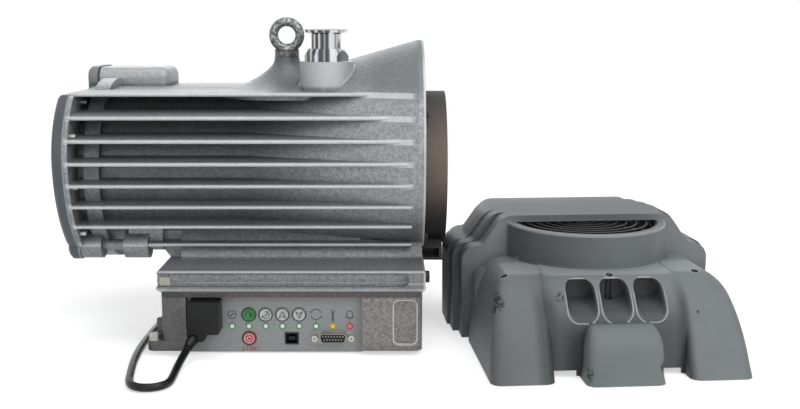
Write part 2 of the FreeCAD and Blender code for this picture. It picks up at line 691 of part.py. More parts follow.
def lifting_eye():
    """Forged eye bolt: round ring, collar and threaded stem."""
    ring = Part.makeTorus(EYE_RING_R, EYE_WIRE_R, V(EYE_X, 0, EYE_CENTRE_Z), V(0, 1, 0))
    collar_top = EYE_BOSS_TOP + EYE_COLLAR_T
    collar = cyl_z(EYE_BOSS_R - 0.2, EYE_BOSS_TOP, collar_top, EYE_X, 0)
    neck = Part.makeCone(EYE_BOSS_R - 2.5, 7.0, 3.5, V(EYE_X, 0, collar_top - 0.2), V(0, 0, 1))
    hole = cyl_y(EYE_RING_R - EYE_WIRE_R + 0.4, -20, 20, EYE_X, EYE_CENTRE_Z)
    stem = cyl_z(EYE_THREAD_R - FIT, EYE_BOSS_TOP - 15, EYE_BOSS_TOP + 1, EYE_X, 0)
    return join([ring, neck.cut(hole), collar, stem])


def inlet_strainer():
    """Pressed strainer cup that hangs in the inlet bore."""
    z = INLET_TOP - 6.0
    wall = cyl_z(PORT_BORE_R - FIT, z - STRAINER_LEN, z, INLET_X, INLET_Y)
    hollow = cyl_z(PORT_BORE_R - 1.0, z - STRAINER_LEN + 0.8, z + 1, INLET_X, INLET_Y)
    holes = [cyl_z(STRAINER_HOLE_R, z - STRAINER_LEN - 1, z - STRAINER_LEN + 2, INLET_X, INLET_Y)]
    for k in range(STRAINER_HOLES):
        angle = 2 * math.pi * k / STRAINER_HOLES
        x = INLET_X + STRAINER_RING_R * math.cos(angle)
        y = INLET_Y + STRAINER_RING_R * math.sin(angle)
        holes.append(cyl_z(STRAINER_HOLE_R, z - STRAINER_LEN - 1, z - STRAINER_LEN + 2, x, y))
    return wall.cut(join([hollow] + holes))


def roller_bearing(x, outer, bore, width):
    """Roller bearing: outer race, inner race and a ring of rollers between them."""
    mid = (outer + bore) / 2.0
    roller_r = (outer - bore) * ROLLER_SHARE / 2.0
    outer_race = ring_x(outer, mid + roller_r, x, x + width)
    inner_race = ring_x(mid - roller_r, bore, x, x + width)
    roller = cyl_x(roller_r - FIT, x + ROLLER_INSET, x + width - ROLLER_INSET, 0, AXIS_Z + mid)
    return group([outer_race, inner_race] + spun(roller, ROLLER_COUNT))


def stator_core():
    """Laminated stator with winding slots open to the rotor."""
    core = ring_x(BAY_R - FIT, STATOR_BORE, STATOR_X0, STATOR_X1)
    slot = box(STATOR_X0 - 1, STATOR_X1 + 1, -1.5, 1.5, AXIS_Z + STATOR_BORE - 2, AXIS_Z + STATOR_BORE + 3)
    pocket = cyl_x(4.2, STATOR_X0 - 1, STATOR_X1 + 1, 0, AXIS_Z + STATOR_BORE + 7)
    return core.cut(join(spun(slot.fuse(pocket), STATOR_SLOTS)))


def stator_windings():
    """Coil ends at both faces of the core, joined through its slots."""
    inner = STATOR_BORE + 3.5
    outer = STATOR_BORE + 18.0
    ends = [ring_x(outer, inner, STATOR_X0 - WINDING_LEN, STATOR_X0),
            ring_x(outer, inner, STATOR_X1, STATOR_X1 + WINDING_LEN)]
    bar = cyl_x(3.9, STATOR_X0 - 1, STATOR_X1 + 1, 0, AXIS_Z + STATOR_BORE + 7)
    return join(ends + spun(bar, STATOR_SLOTS))


def rotor():
    """Rotor drum pressed on the shaft, with balancing rings at its ends."""
    radius = STATOR_BORE - ROTOR_AIR_GAP
    drum = ring_x(radius, SHAFT_R, STATOR_X0, STATOR_X1)
    rings = [ring_x(radius - 2.0, radius - 12.0, STATOR_X0 - 5, STATOR_X0),
             ring_x(radius - 2.0, radius - 12.0, STATOR_X1, STATOR_X1 + 5)]
    return join([drum] + rings)


def crankshaft():
    """Motor shaft that ends in a crank disc and an offset pin for the orbiting scroll."""
    front_x = FRONT_BEARING_X + FRONT_BEARING_T
    disc_x = front_x + 1.0
    parts = [cyl_x(REAR_SEAT_R - FIT, REAR_BEARING_X, REAR_BEARING_X + REAR_BEARING_T + 2),
             cyl_x(SHAFT_R, REAR_BEARING_X + REAR_BEARING_T + 1, FRONT_BEARING_X - 2),
             cyl_x(FRONT_SEAT_R + 2.5, FRONT_BEARING_X - 5, FRONT_BEARING_X - 1),
             cyl_x(FRONT_SEAT_R - FIT, FRONT_BEARING_X - 2, disc_x),
             cyl_x(CRANK_DISC_R, disc_x, disc_x + CRANK_DISC_T),
             cyl_x(CRANK_PIN_R, disc_x + CRANK_DISC_T - 1, pin_start_x() + CRANK_PIN_LEN, 0,
                   AXIS_Z + ORBIT_R)]
    return join(parts)


def pin_start_x():
    """Where the offset pin leaves the crank disc."""
    return FRONT_BEARING_X + FRONT_BEARING_T + 1.0 + CRANK_DISC_T


def counterweight():
    """Half-round weight behind the front bearing, opposite the offset pin."""
    x0 = BAY_END_X - 18.0
    half = ring_x(32.0, SHAFT_R, x0, x0 + 9.0)
    upper = box(x0 - 1, x0 + 10, -40, 40, AXIS_Z + 6, AXIS_Z + 50)
    return half.cut(upper)


def bearing_carrier():
    """Flanged carrier that holds the front bearing in the wall between motor and scrolls."""
    hub_x1 = FRONT_BEARING_X + FRONT_BEARING_T
    flange = cyl_x(CARRIER_SCREW_R + 7.0, BAY_END_X - CARRIER_T, BAY_END_X)
    hub = cyl_x(BORE_R - FIT, BAY_END_X - 1, hub_x1)
    carrier = join([flange, hub])
    seat = cyl_x(FRONT_BEARING_R, FRONT_BEARING_X, hub_x1 + 1)
    way = cyl_x(FRONT_SEAT_R + 3.5, BAY_END_X - CARRIER_T - 1, FRONT_BEARING_X + 1)
    hole = cyl_x(SCREW_R, BAY_END_X - CARRIER_T - 1, BAY_END_X + 1, 0, AXIS_Z + CARRIER_SCREW_R)
    return carrier.cut(join([seat, way] + spun(hole, CARRIER_SCREWS)))


def carrier_screws():
    """Six screws that hold the bearing carrier."""
    x = BAY_END_X - CARRIER_T - SCREW_HEAD_T
    screw = socket_screw_x(x, 0, AXIS_Z + CARRIER_SCREW_R, CARRIER_T + TAP_DEPTH - 1, 1)
    return group(spun(screw, CARRIER_SCREWS))


def bearing_retainer():
    """Flat ring that keeps the front bearing in its seat."""
    x = FRONT_BEARING_X + FRONT_BEARING_T
    return ring_x(FRONT_BEARING_R + 5.0, FRONT_BEARING_R - 4.0, x, x + 1.6)


def bellows():
    """Metal bellows round the crank that seals the bearings from the vacuum side."""
    x0 = FRONT_BEARING_X + FRONT_BEARING_T + 1.6
    x1 = ORBIT_PLATE_X - GAP
    pleats = 7
    step = (x1 - x0) / pleats
    inner = BELLOWS_R
    outer = BELLOWS_R + 5.0
    wall = 0.8
    points = [V(x0, 0, inner)]
    for k in range(pleats):
        points.append(V(x0 + (k + 0.5) * step, 0, outer))
        points.append(V(x0 + (k + 1.0) * step, 0, inner))
    back = [p + V(0, 0, wall) for p in reversed(points)]
    loop = points + back
    edges = [Part.LineSegment(loop[i], loop[(i + 1) % len(loop)]).toShape() for i in range(len(loop))]
    shape = Part.Face(Part.Wire(edges)).revolve(V(0, 0, 0), V(1, 0, 0), 360)
    shape.translate(V(0, 0, AXIS_Z))
    return shape


def involute(turn_angle, offset):
    """Point of the involute of the base circle, shifted along its normal by an offset."""
    base = WALL_PITCH / (2 * math.pi)
    reach = base * turn_angle + offset
    y = base * math.cos(turn_angle) + reach * math.sin(turn_angle)
    z = base * math.sin(turn_angle) - reach * math.cos(turn_angle)
    return y, z


def involute_edges(x, start, end, offset, flip):
    """Flank of a scroll wall as a run of arcs, each through three points of the involute."""
    count = int(round((end - start) / (2 * math.pi) * INVOLUTE_ARCS_PER_TURN))
    points = []
    for k in range(2 * count + 1):
        y, z = involute(start + (end - start) * k / (2.0 * count), offset)
        points.append(V(x, flip * y, AXIS_Z + flip * z))
    return [Part.Arc(points[2 * k], points[2 * k + 1], points[2 * k + 2]).toShape() for k in range(count)]


def scroll_wall(x0, x1, flip):
    """Spiral wall between two involutes; flip is -1 for the half-turned partner."""
    start = WALL_START_TURN * 2 * math.pi
    end = start + WALL_TURNS * 2 * math.pi
    inner = involute_edges(x0, start, end, -WALL_T / 2.0, flip)
    outer = involute_edges(x0, start, end, WALL_T / 2.0, flip)
    tail = Part.LineSegment(inner[-1].Vertexes[-1].Point, outer[-1].Vertexes[-1].Point).toShape()
    nose = Part.LineSegment(inner[0].Vertexes[0].Point, outer[0].Vertexes[0].Point).toShape()
    face = Part.Face(Part.Wire(inner + [tail] + outer[::-1] + [nose]))
    return face.extrude(V(x1 - x0, 0, 0))


def fixed_scroll():
    """Outer scroll: wall facing inwards, seat flange, and straight cooling fins on its back."""
    plate_x0 = SEAT_X
    wall_x0 = plate_x0 - WALL_H
    plate_x1 = plate_x0 + FIXED_PLATE_T
    plate = cyl_x(SEAT_R - FIT, plate_x0, plate_x1)
    wall = scroll_wall(wall_x0, plate_x0 + 0.5, 1)
    solids = [plate, wall]
    fin_top = FACE_X - FAN_FLANGE_T - 5.0
    for k in range(COOLING_FIN_COUNT):
        y = COOLING_HALF_W * (2.0 * (k + 0.5) / COOLING_FIN_COUNT - 1.0)
        half = math.sqrt((SCROLL_SCREW_R - 11.0) ** 2 - y * y)
        solids.append(box(plate_x1 - 0.5, fin_top, y - COOLING_FIN_T / 2, y + COOLING_FIN_T / 2,
                          AXIS_Z - half, AXIS_Z + half))
    post = cyl_x(5.0, plate_x1 - 0.5, FACE_X - FAN_FLANGE_T, 0, AXIS_Z + FAN_POST_R)
    solids += spun(post, FAN_POSTS, start=45.0)
    scroll = join(solids)
    hole = cyl_x(SCREW_R, plate_x0 - 1, plate_x1 + 1, 0, AXIS_Z + SCROLL_SCREW_R)
    tap = cyl_x(SCREW_R, FACE_X - FAN_FLANGE_T - TAP_DEPTH, FACE_X, 0, AXIS_Z + FAN_POST_R)
    cuts = spun(hole, SCROLL_SCREW_COUNT, start=30.0) + spun(tap, FAN_POSTS, start=45.0)
    return scroll.cut(join(cuts))


def orbiting_scroll():
    """Inner scroll: wall facing the fan end, plate, and the boss that rides the offset pin."""
    shift = V(0, 0, ORBIT_R)
    plate_x1 = ORBIT_PLATE_X + ORBIT_PLATE_T
    plate = cyl_x(ORBIT_PLATE_R, ORBIT_PLATE_X, plate_x1)
    wall = scroll_wall(plate_x1 - 0.5, SEAT_X - TIP_GAP, -1)
    boss_x0 = pin_start_x() + 1.0
    boss = cyl_x(PIN_BEARING_R + 5.0, boss_x0, ORBIT_PLATE_X + 1)
    bore = cyl_x(PIN_BEARING_R, boss_x0 - 1, boss_x0 + CRANK_PIN_LEN)
    scroll = join([plate, wall, boss]).cut(bore)
    scroll.translate(shift)
    return scroll


def orbit_bearing():
    """Needle bearing between the offset pin and the orbiting scroll."""
    x0 = pin_start_x() + 1.0
    bearing = ring_x(PIN_BEARING_R, CRANK_PIN_R + FIT, x0, x0 + CRANK_PIN_LEN - 2.0)
    bearing.translate(V(0, 0, ORBIT_R))
    return bearing


def scroll_screws():
    """Six screws that hold the fixed scroll against its seat."""
    x = SEAT_X + FIXED_PLATE_T + SCREW_HEAD_T
    screw = socket_screw_x(x, 0, AXIS_Z + SCROLL_SCREW_R, FIXED_PLATE_T + TAP_DEPTH - 1, -1)
    return group(spun(screw, SCROLL_SCREW_COUNT, start=30.0))


def fan_ring():
    """Dark shroud ring with its hidden flange, three struts, motor plate and lower bracket."""
    inner = FAN_RING_R - FAN_RING_WALL
    flange_x = FACE_X - FAN_FLANGE_T
    parts = [cyl_x(SEAT_R - FIT, flange_x, FACE_X), cyl_x(FAN_RING_R, FACE_X - 0.5, FACE_X + FAN_RING_LEN)]
    body = join(parts).cut(cyl_x(inner, flange_x - 1, FACE_X + FAN_RING_LEN + 1))
    strut = box(flange_x, FACE_X + 1.5, -3.5, 3.5, AXIS_Z + 10, AXIS_Z + inner + 2)
    hub = cyl_x(FAN_HUB_R - 2.0, flange_x, FACE_X + 2.0)
    hub = hub.cut(cyl_x(FAN_PIN_R + FIT, flange_x - 1, FACE_X + 3))
    struts = [s.cut(cyl_x(FAN_HUB_R - 3.0, flange_x - 1, FACE_X + 3)) for s in spun(strut, 3, start=30.0)]
    low = AXIS_Z - FAN_RING_R
    end_x = FACE_X + FAN_RING_LEN
    bracket_pts = [(-46.0, low - 10), (46.0, low - 10), (34.0, low + 12), (-34.0, low + 12)]
    bracket = prism_yz(bracket_pts, FACE_X, end_x - 3.0, [2.0] * 4)
    bracket = bracket.cut(cyl_x(inner, FACE_X - 1, end_x))
    pocket = box(FACE_X - 1, end_x - 6, -50, 50, low - 7, low + 1)
    bracket = bracket.cut(pocket.cut(cyl_x(FAN_RING_R, FACE_X - 1, end_x)))
    frame = join([body, hub, bracket] + struts)
    hole = cyl_x(SCREW_R + 0.2, flange_x - 1, FACE_X + 1, 0, AXIS_Z + FAN_POST_R)
    return frame.cut(join(spun(hole, FAN_POSTS, start=45.0)))


def fan_ring_screws():
    """Four screws that hold the fan flange to the posts of the fixed scroll."""
    screw = socket_screw_x(FACE_X + SCREW_HEAD_T, 0, AXIS_Z + FAN_POST_R, FAN_FLANGE_T + TAP_DEPTH - 1, -1)
    return group(spun(screw, FAN_POSTS, start=45.0))


def blade_section(radius, chord, pitch, thickness):
    """Closed lens-like section of a blade, square to the radius."""
    mid_x = FACE_X + FAN_RING_LEN / 2.0 + 1.0
    lean = math.radians(pitch)
    points = []
    for along, across in ((-0.5, 0), (-0.2, 0.5), (0.2, 0.5), (0.5, 0), (0.2, -0.5), (-0.2, -0.5)):
        bow = 0.10 * chord * (1 - 4 * along * along)
        a = along * chord
        b = across * thickness + bow
        points.append(V(mid_x + a * math.sin(lean) + b * math.cos(lean),
                        a * math.cos(lean) - b * math.sin(lean), AXIS_Z + radius))
    edges = [Part.LineSegment(points[i], points[(i + 1) % 6]).toShape() for i in range(6)]
    return Part.Wire(edges)


def fan_impeller():
    """Moulded hub cup with swept blades and the pin that turns in the fan frame."""
    x0 = FACE_X + 3.0
    x1 = FACE_X + FAN_RING_LEN - 2.0
    tip = FAN_RING_R - FAN_RING_WALL - FAN_TIP_GAP
    cup = cyl_x(FAN_HUB_R, x0, x1).cut(cyl_x(FAN_HUB_R - 2.5, x0 - 1, x1 - 2.5))
    core = cyl_x(8.0, x0 + 1, x1 - 1)
    pin = cyl_x(FAN_PIN_R, FACE_X - FAN_FLANGE_T + 0.5, x0 + 2)
    blade = Part.makeLoft([blade_section(FAN_HUB_R - 1.5, 20.0, 42.0, 2.6),
                           blade_section((FAN_HUB_R + tip) / 2.0, 28.0, 30.0, 2.0),
                           blade_section(tip + 4.0, 36.0, 20.0, 1.6)], True, False)
    blade = blade.common(cyl_x(tip, x0, x1 + 2))
    return join([cup, core, pin] + spun(blade, FAN_BLADES))


def shroud_fastener():
    """Small dark screw under the fan bracket, by the end of the ledge."""
    head = cyl_x(SHROUD_SCREW_R, FACE_X, FACE_X + SCREW_HEAD_T, SHROUD_SCREW_Y, SHROUD_SCREW_Z)
    shank = cyl_x(SCREW_R - 0.1, FACE_X - TAP_DEPTH + 1, FACE_X + 1, SHROUD_SCREW_Y, SHROUD_SCREW_Z)
    return head.fuse(shank)


def base_housing():
    """Cast box under the pump: corner columns, panel recess, side pocket and foot lugs."""
    outer = rounded_block_z(BASE_X0, BASE_X1, -BASE_HALF_W, BASE_HALF_W, BASE_Z0, PED_Z0, 8.0)
    lugs = []
    for side in (-1, 1):
        y = side * FOOT_LUG_Y
        lugs.append(cyl_z(FOOT_LUG_R, BASE_Z0, FOOT_LUG_TOP, FOOT_LUG_X + FOOT_LUG_R, y))
        lugs.append(box(FOOT_LUG_X + FOOT_LUG_R, BASE_X0 + 6, y - FOOT_LUG_R, y + FOOT_LUG_R,
                        BASE_Z0, FOOT_LUG_TOP))
        rib_y = y - side * (FOOT_LUG_R + LUG_RIB_T / 2.0)
        lugs.append(box(FOOT_LUG_X + 7.0, BASE_X0 + 6, rib_y - LUG_RIB_T / 2.0, rib_y + LUG_RIB_T / 2.0,
                        BASE_Z0, BASE_Z0 + 26.0))
    body = join([outer] + lugs)
    back_y = PANEL_Y + PANEL_T
    inner_front = back_y + 4.0
    cuts = [box(BASE_X0 + BASE_WALL, BASE_X1 - BASE_WALL, inner_front, BASE_HALF_W - BASE_WALL,
                BASE_Z0 - 1, PED_Z0 - BASE_TOP_T),
            box(PANEL_X0, PANEL_X1, -BASE_HALF_W - 1, back_y, BASE_Z0 - 1, PANEL_Z1),
            box(PANEL_X0 + 4, PANEL_X1 - 4, back_y - 1, inner_front + 1, BASE_Z0 - 1, PANEL_Z1 - 4),
            rounded_block_y(POCKET_X0, POCKET_X1, -BASE_HALF_W - 1, -BASE_HALF_W + 3.0, 10.0, 51.0, 5.0)]
    body = body.cut(join(cuts))
    posts = []
    for x, y in base_post_places():
        posts.append(cyl_z(7.0, BASE_Z0, PED_Z0 - BASE_TOP_T + 1, x, y))
    body = join([body] + posts)
    holes = []
    for x, y in base_post_places():
        holes.append(cyl_z(SCREW_R, BASE_Z0 - 1, BASE_Z0 + 12, x, y))
    for x, y in pedestal_bolt_places():
        holes.append(cyl_z(PED_BOLT_R + BOLT_PLAY, PED_Z0 - BASE_TOP_T - 1, PED_Z0 + 1, x, y))
    for side in (-1, 1):
        holes.append(cyl_z(LUG_BOLT_R + BOLT_PLAY, BASE_Z0 - 1, FOOT_LUG_TOP + 1, FOOT_LUG_X + FOOT_LUG_R,
                           side * FOOT_LUG_Y))
    return body.cut(join(holes))


def base_post_places():
    """Posts inside the base that the bottom plate and feet are screwed to."""
    front = POST_FRONT_IN - BASE_HALF_W
    rear = BASE_HALF_W - POST_IN
    return [(x, y) for x in (BASE_X0 + POST_IN, BASE_X1 - POST_IN) for y in (front, rear)]


def pedestal_bolt_places():
    """Bolts that join the base to the pump casing."""
    return [(x, y) for x in (BASE_X0 + 46.0, BASE_X1 - 46.0) for y in (-88.0, 88.0)]


def pedestal_bolts():
    """Four bolts from inside the base up into the pedestal."""
    bolts = []
    for x, y in pedestal_bolt_places():
        head = cyl_z(PED_BOLT_R + 3.0, PED_Z0 - BASE_TOP_T - 6, PED_Z0 - BASE_TOP_T, x, y)
        bolts.append(head.fuse(cyl_z(PED_BOLT_R, PED_Z0 - BASE_TOP_T, PED_Z0 + PED_BOLT_REACH, x, y)))
    return group(bolts)


def foot_lug_bolts():
    """Hexagon bolts that stand in the two foot lugs."""
    bolts = []
    for side in (-1, 1):
        x = FOOT_LUG_X + FOOT_LUG_R
        y = side * FOOT_LUG_Y
        top = FOOT_LUG_TOP
        head = hexagon_z(LUG_BOLT_HEX, top + 1.2, top + 5.5, x, y)
        washer = cyl_z(LUG_WASHER_R, top, top + 1.2, x, y)
        bolts.append(join([head, washer, cyl_z(LUG_BOLT_R, BASE_Z0, top + 1.3, x, y)]))
    return group(bolts)


def hexagon_z(inner_r, z0, z1, x, y):
    """Hexagonal bar along Z, given by the radius to its flats."""
    corner = inner_r / math.cos(math.pi / 6)
    points = [V(x + corner * math.cos(math.pi / 3 * k), y + corner * math.sin(math.pi / 3 * k), z0)
              for k in range(6)]
    edges = [Part.LineSegment(points[k], points[(k + 1) % 6]).toShape() for k in range(6)]
    return Part.Face(Part.Wire(edges)).extrude(V(0, 0, z1 - z0))


def base_plate():
    """Sheet that closes the base from below."""
    x0 = BASE_X0 + 4.0
    x1 = BASE_X1 - 4.0
    y0 = PANEL_Y + PANEL_T + 1.0
    plate = rounded_block_z(x0, x1, y0, BASE_HALF_W - 4.0, BASE_Z0 - PLATE_T, BASE_Z0, 5.0)
    holes = [cyl_z(SCREW_R + 0.2, BASE_Z0 - 5, BASE_Z0 + 1, x, y) for x, y in base_post_places()]
    return plate.cut(join(holes))


def rubber_feet():
    """Four rubber feet under the bottom plate."""
    feet = []
    for x, y in base_post_places():
        foot = Part.makeCone(FOOT_R - 1.0, FOOT_R, BASE_Z0 - PLATE_T, V(x, y, 0), V(0, 0, 1))
        feet.append(foot.cut(cyl_z(SCREW_R + 0.2, -1, BASE_Z0, x, y)).cut(cyl_z(5.0, -1, 1.2, x, y)))
    return group(feet)


def foot_screws():
    """Screws through feet and bottom plate into the base posts."""
    screws = []
    for x, y in base_post_places():
        head = cyl_z(4.4, 0.3, 1.2, x, y)
        screws.append(head.fuse(cyl_z(SCREW_R - 0.1, 1.2, BASE_Z0 + 10, x, y)))
    return group(screws)


def control_panel():
    """Flat front plate with its holes for buttons, lamps and connectors."""
    plate = box(PANEL_X0 + 0.2, PANEL_X1 - 0.2, PANEL_Y, PANEL_Y + PANEL_T, PANEL_Z0, PANEL_Z1 - 0.2)
    y0 = PANEL_Y - 1
    y1 = PANEL_Y + PANEL_T + 1
    cuts = [cyl_y(BUTTON_R + 0.3, y0, y1, x, z) for x, z in button_places().values()]
    cuts += [cyl_y(LAMP_R + FIT, y0, y1, x, LAMP_Z) for x in lamp_places()]
    cuts.append(box(USB_X - USB_W / 2, USB_X + USB_W / 2, y0, y1, USB_Z - USB_H / 2, USB_Z + USB_H / 2))
    cuts.append(rounded_block_y(SUB_X - 13.2, SUB_X + 13.2, y0, y1, SUB_Z - 5.6, SUB_Z + 5.6, 3.0))
    cuts.append(box(INLET_SOCKET_X - SOCKET_HALF_W - 0.1, INLET_SOCKET_X + SOCKET_HALF_W + 0.1, y0, y1,
                    INLET_SOCKET_Z - SOCKET_HALF_H - 0.1, INLET_SOCKET_Z + SOCKET_HALF_H + 0.1))
    cuts += [cyl_y(1.6, y0, y1, SUB_X + s * SUB_SCREW, SUB_Z) for s in (-1, 1)]
    return plate.cut(join(cuts))


def button_places():
    """Centres of the five buttons on the panel."""
    row_z = LAMP_Z + BUTTON_RISE
    x0 = LAMP_X0 + LAMP_PITCH
    return {"start_button": (x0, row_z),
            "standby_button": (x0 + LAMP_PITCH, row_z),
            "speed_up_button": (x0 + 2 * LAMP_PITCH, row_z),
            "speed_down_button": (x0 + 3 * LAMP_PITCH, row_z),
            "stop_button": (x0, LAMP_Z - STOP_DROP)}


def lamp_places():
    """X of the eight lamps."""
    return [LAMP_X0 + k * LAMP_PITCH for k in range(LAMP_COUNT)]


def button(x, z):
    """Button cap, the collar that keeps it behind the panel, and the stem towards its switch."""
    collar_y = PANEL_Y + PANEL_T + GAP
    cap = cyl_y(BUTTON_R, PANEL_Y - BUTTON_PROUD, collar_y + 0.5, x, z)
    collar = cyl_y(BUTTON_R + BUTTON_COLLAR, collar_y, collar_y + BUTTON_COLLAR, x, z)
    stem = cyl_y(BUTTON_STEM_R, collar_y, BOARD_Y - SWITCH_H - BUTTON_TRAVEL - GAP, x, z)
    return join([cap, collar, stem])


def button_switches():
    """Short-travel switches on the board behind the buttons."""
    return group([box(x - 3, x + 3, BOARD_Y - SWITCH_H, BOARD_Y, z - 3, z + 3)
                  for x, z in button_places().values()])


def lamps(indices):
    """Light guides from the board to the panel face."""
    places = lamp_places()
    return group([cyl_y(LAMP_R, PANEL_Y - 0.5, BOARD_Y, places[k], LAMP_Z) for k in indices])


def control_board():
    """Circuit board carried behind the panel."""
    return box(BOARD_X0, PANEL_X1 - 6.0, BOARD_Y, BOARD_Y + 1.6, PANEL_Z0 + 1, PANEL_Z1 - 7.0)


def board_spacers():
    """Spacers between panel and board."""
    places = [(x, z) for x in (BOARD_X0 + 4.0, PANEL_X1 - 10.0) for z in (PANEL_Z1 - 11.0,)]
    return group([cyl_y(2.5, PANEL_Y + PANEL_T, BOARD_Y, x, z) for x, z in places])


def usb_socket():
    """Square data socket with its tongue."""
    y0 = PANEL_Y - 0.6
    shell = box(USB_X - USB_W / 2 + FIT, USB_X + USB_W / 2 - FIT, y0, BOARD_Y,
                USB_Z - USB_H / 2 + FIT, USB_Z + USB_H / 2 - FIT)
    hollow = box(USB_X - USB_W / 2 + 1.2, USB_X + USB_W / 2 - 1.2, y0 - 1, BOARD_Y - 2,
                 USB_Z - USB_H / 2 + 1.2, USB_Z + USB_H / 2 - 1.2)
    tongue = box(USB_X - 2.8, USB_X + 2.8, y0 + 1.5, BOARD_Y - 1.5, USB_Z - 1.6, USB_Z + 1.6)
    return shell.cut(hollow).fuse(tongue)


def remote_shell():
    """Metal shell of the 15-way remote connector with its two screw ears."""
    y0 = PANEL_Y - 5.5
    points = [V(SUB_X - 12.6, y0, SUB_Z + 4.4), V(SUB_X + 12.6, y0, SUB_Z + 4.4),
              V(SUB_X + 11.2, y0, SUB_Z - 4.4), V(SUB_X - 11.2, y0, SUB_Z - 4.4)]
    shell = Part.Face(rounded_wire(points, [2.4] * 4)).extrude(V(0, BOARD_Y - y0, 0))
    inner = [V(SUB_X - 11.7, y0 - 1, SUB_Z + 3.7), V(SUB_X + 11.7, y0 - 1, SUB_Z + 3.7),
             V(SUB_X + 10.3, y0 - 1, SUB_Z - 3.7), V(SUB_X - 10.3, y0 - 1, SUB_Z - 3.7)]
    hollow = Part.Face(rounded_wire(inner, [2.0] * 4)).extrude(V(0, 6.0, 0))
    ears = rounded_block_y(SUB_X - 19.6, SUB_X + 19.6, PANEL_Y - 0.8, PANEL_Y, SUB_Z - 6.0, SUB_Z + 6.0, 2.0)
    body = join([shell, ears]).cut(hollow)
    holes = [cyl_y(1.6, PANEL_Y - 2, PANEL_Y + 1, SUB_X + s * SUB_SCREW, SUB_Z) for s in (-1, 1)]
    return body.cut(join(holes))


def remote_insert():
    """Black insulator with fifteen contact holes."""
    y0 = PANEL_Y - 4.6
    y1 = PANEL_Y - 5.5 + 5.0
    points = [V(SUB_X - 11.4, y0, SUB_Z + 3.4), V(SUB_X + 11.4, y0, SUB_Z + 3.4),
              V(SUB_X + 10.0, y0, SUB_Z - 3.4), V(SUB_X - 10.0, y0, SUB_Z - 3.4)]
    block = Part.Face(rounded_wire(points, [1.8] * 4)).extrude(V(0, y1 - y0, 0))
    holes = []
    for k in range(8):
        holes.append(cyl_y(0.6, y0 - 1, y0 + 3, SUB_X - 9.7 + 2.77 * k, SUB_Z + 1.42))
    for k in range(7):
        holes.append(cyl_y(0.6, y0 - 1, y0 + 3, SUB_X - 8.31 + 2.77 * k, SUB_Z - 1.42))
    return block.cut(join(holes))


def remote_jackscrews():
    """Two hexagon jack screws of the remote connector."""
    screws = []
    for side in (-1, 1):
        x = SUB_X + side * SUB_SCREW
        nut = hexagon_z(2.6, 0, 4.5, 0, 0)
        nut.rotate(V(0, 0, 0), V(1, 0, 0), 90)
        nut.translate(V(x, PANEL_Y - 0.8, SUB_Z))
        hole = cyl_y(1.3, PANEL_Y - 6, PANEL_Y - 2.5, x, SUB_Z)
        screws.append(nut.fuse(cyl_y(1.5, PANEL_Y - 1, PANEL_Y + 4, x, SUB_Z)).cut(hole))
    return group(screws)


def cowl_half_width(v):
    """Half width of the cowl at a height v above the fan axis, as fitted."""
    share = (v - COWL_WIDE_V) / COWL_OVAL
    return COWL_HALF_W * math.sqrt(1.0 - share * share)


def arch(v0, v1, half_w, crown_in, top, low):
    """Bell-shaped slice of the cowl: flat crown, shoulder, hollow and outer roll on each side."""
    roll = min(top, COWL_H) - 30.0
    right = [(half_w - 1.0, low), (half_w, roll), (half_w - crown_in * 0.5, roll + 2.0),
             (half_w - crown_in, top)]
    left = [(-u, w) for u, w in reversed(right)]
    radii = [0.5, 15.0, 8.0, 18.0]
    corners = [V(u, v0, w) for u, w in right + left]
    face = Part.Face(rounded_wire(corners, radii + radii[::-1]))
    return face.extrude(V(0, v1 - v0, 0))


def cowl_slats(wall, low):
    """Upper body of the cowl: a low wing slat in front, then slats that form the raised back."""
    pitch = (COWL_BACK_V - COWL_WING_V) / COWL_SLATS
    solids = []
    for k in range(COWL_SLATS):
        v0 = COWL_WING_V + k * pitch
        v1 = v0 + pitch - COWL_GROOVE
        crown_in = COWL_CROWN_IN if k else COWL_WING_IN
        top = (COWL_H - COWL_FALL * (k - 1) if k else COWL_WING_H) - wall
        width = cowl_half_width(v0 + (pitch - COWL_GROOVE) / 2.0) - wall
        solids.append(arch(v0 + wall, v1 - wall, width, crown_in, top, low))
        if k < COWL_SLATS - 1:
            valley = cowl_half_width(v0 + pitch / 2.0) - COWL_GROOVE_D - wall
            solids.append(arch(v0 + wall, v0 + pitch + 1.0 + wall, valley, crown_in, top - COWL_LINE_D, low))
    return join(solids)


def skirt_block(curve, u0, u1, front, back, low, top, radius, plain):
    """Rounded block whose front and outer side draw back upwards; plain gives it flat facets."""
    wires = []
    for share, set_back, side in curve:
        w = low + (top - low) * share
        corners = [V(u0, front + set_back, w), V(u1 - side, front + set_back, w), V(u1 - side, back, w),
                   V(u0, back, w)]
        wires.append(rounded_wire(corners, [radius] * 4))
    return Part.makeLoft(wires, True, plain)


def cowl_skirt(wall, low):
    """Lower front body of the cowl: centre drum, two flared legs and the bottom bulge."""
    top = COWL_SHOULDER_W - wall
    back = COWL_WING_V + 20.0
    plain = wall > 0.0
    drum = skirt_block(DRUM_CURVE, -14.0, COWL_DRUM_U - wall, COWL_DRUM_V + wall, back, low, top, 12.0,
                       plain)
    leg = skirt_block(LEG_CURVE, COWL_LEG_IN + wall, COWL_LEG_OUT - wall, COWL_FOOT_V + wall, back, low,
                      top - 1.0, 9.0, plain)
    bulge = skirt_block(BULGE_CURVE, -14.0, COWL_BULGE_U - wall, COWL_BULGE_V + wall, COWL_DRUM_V + 30.0,
                        low, COWL_BULGE_H - wall, 8.0, plain)
    solids = [drum, leg, bulge]
    solids += [s.mirror(V(0, 0, 0), V(1, 0, 0)) for s in solids]
    return join(solids)


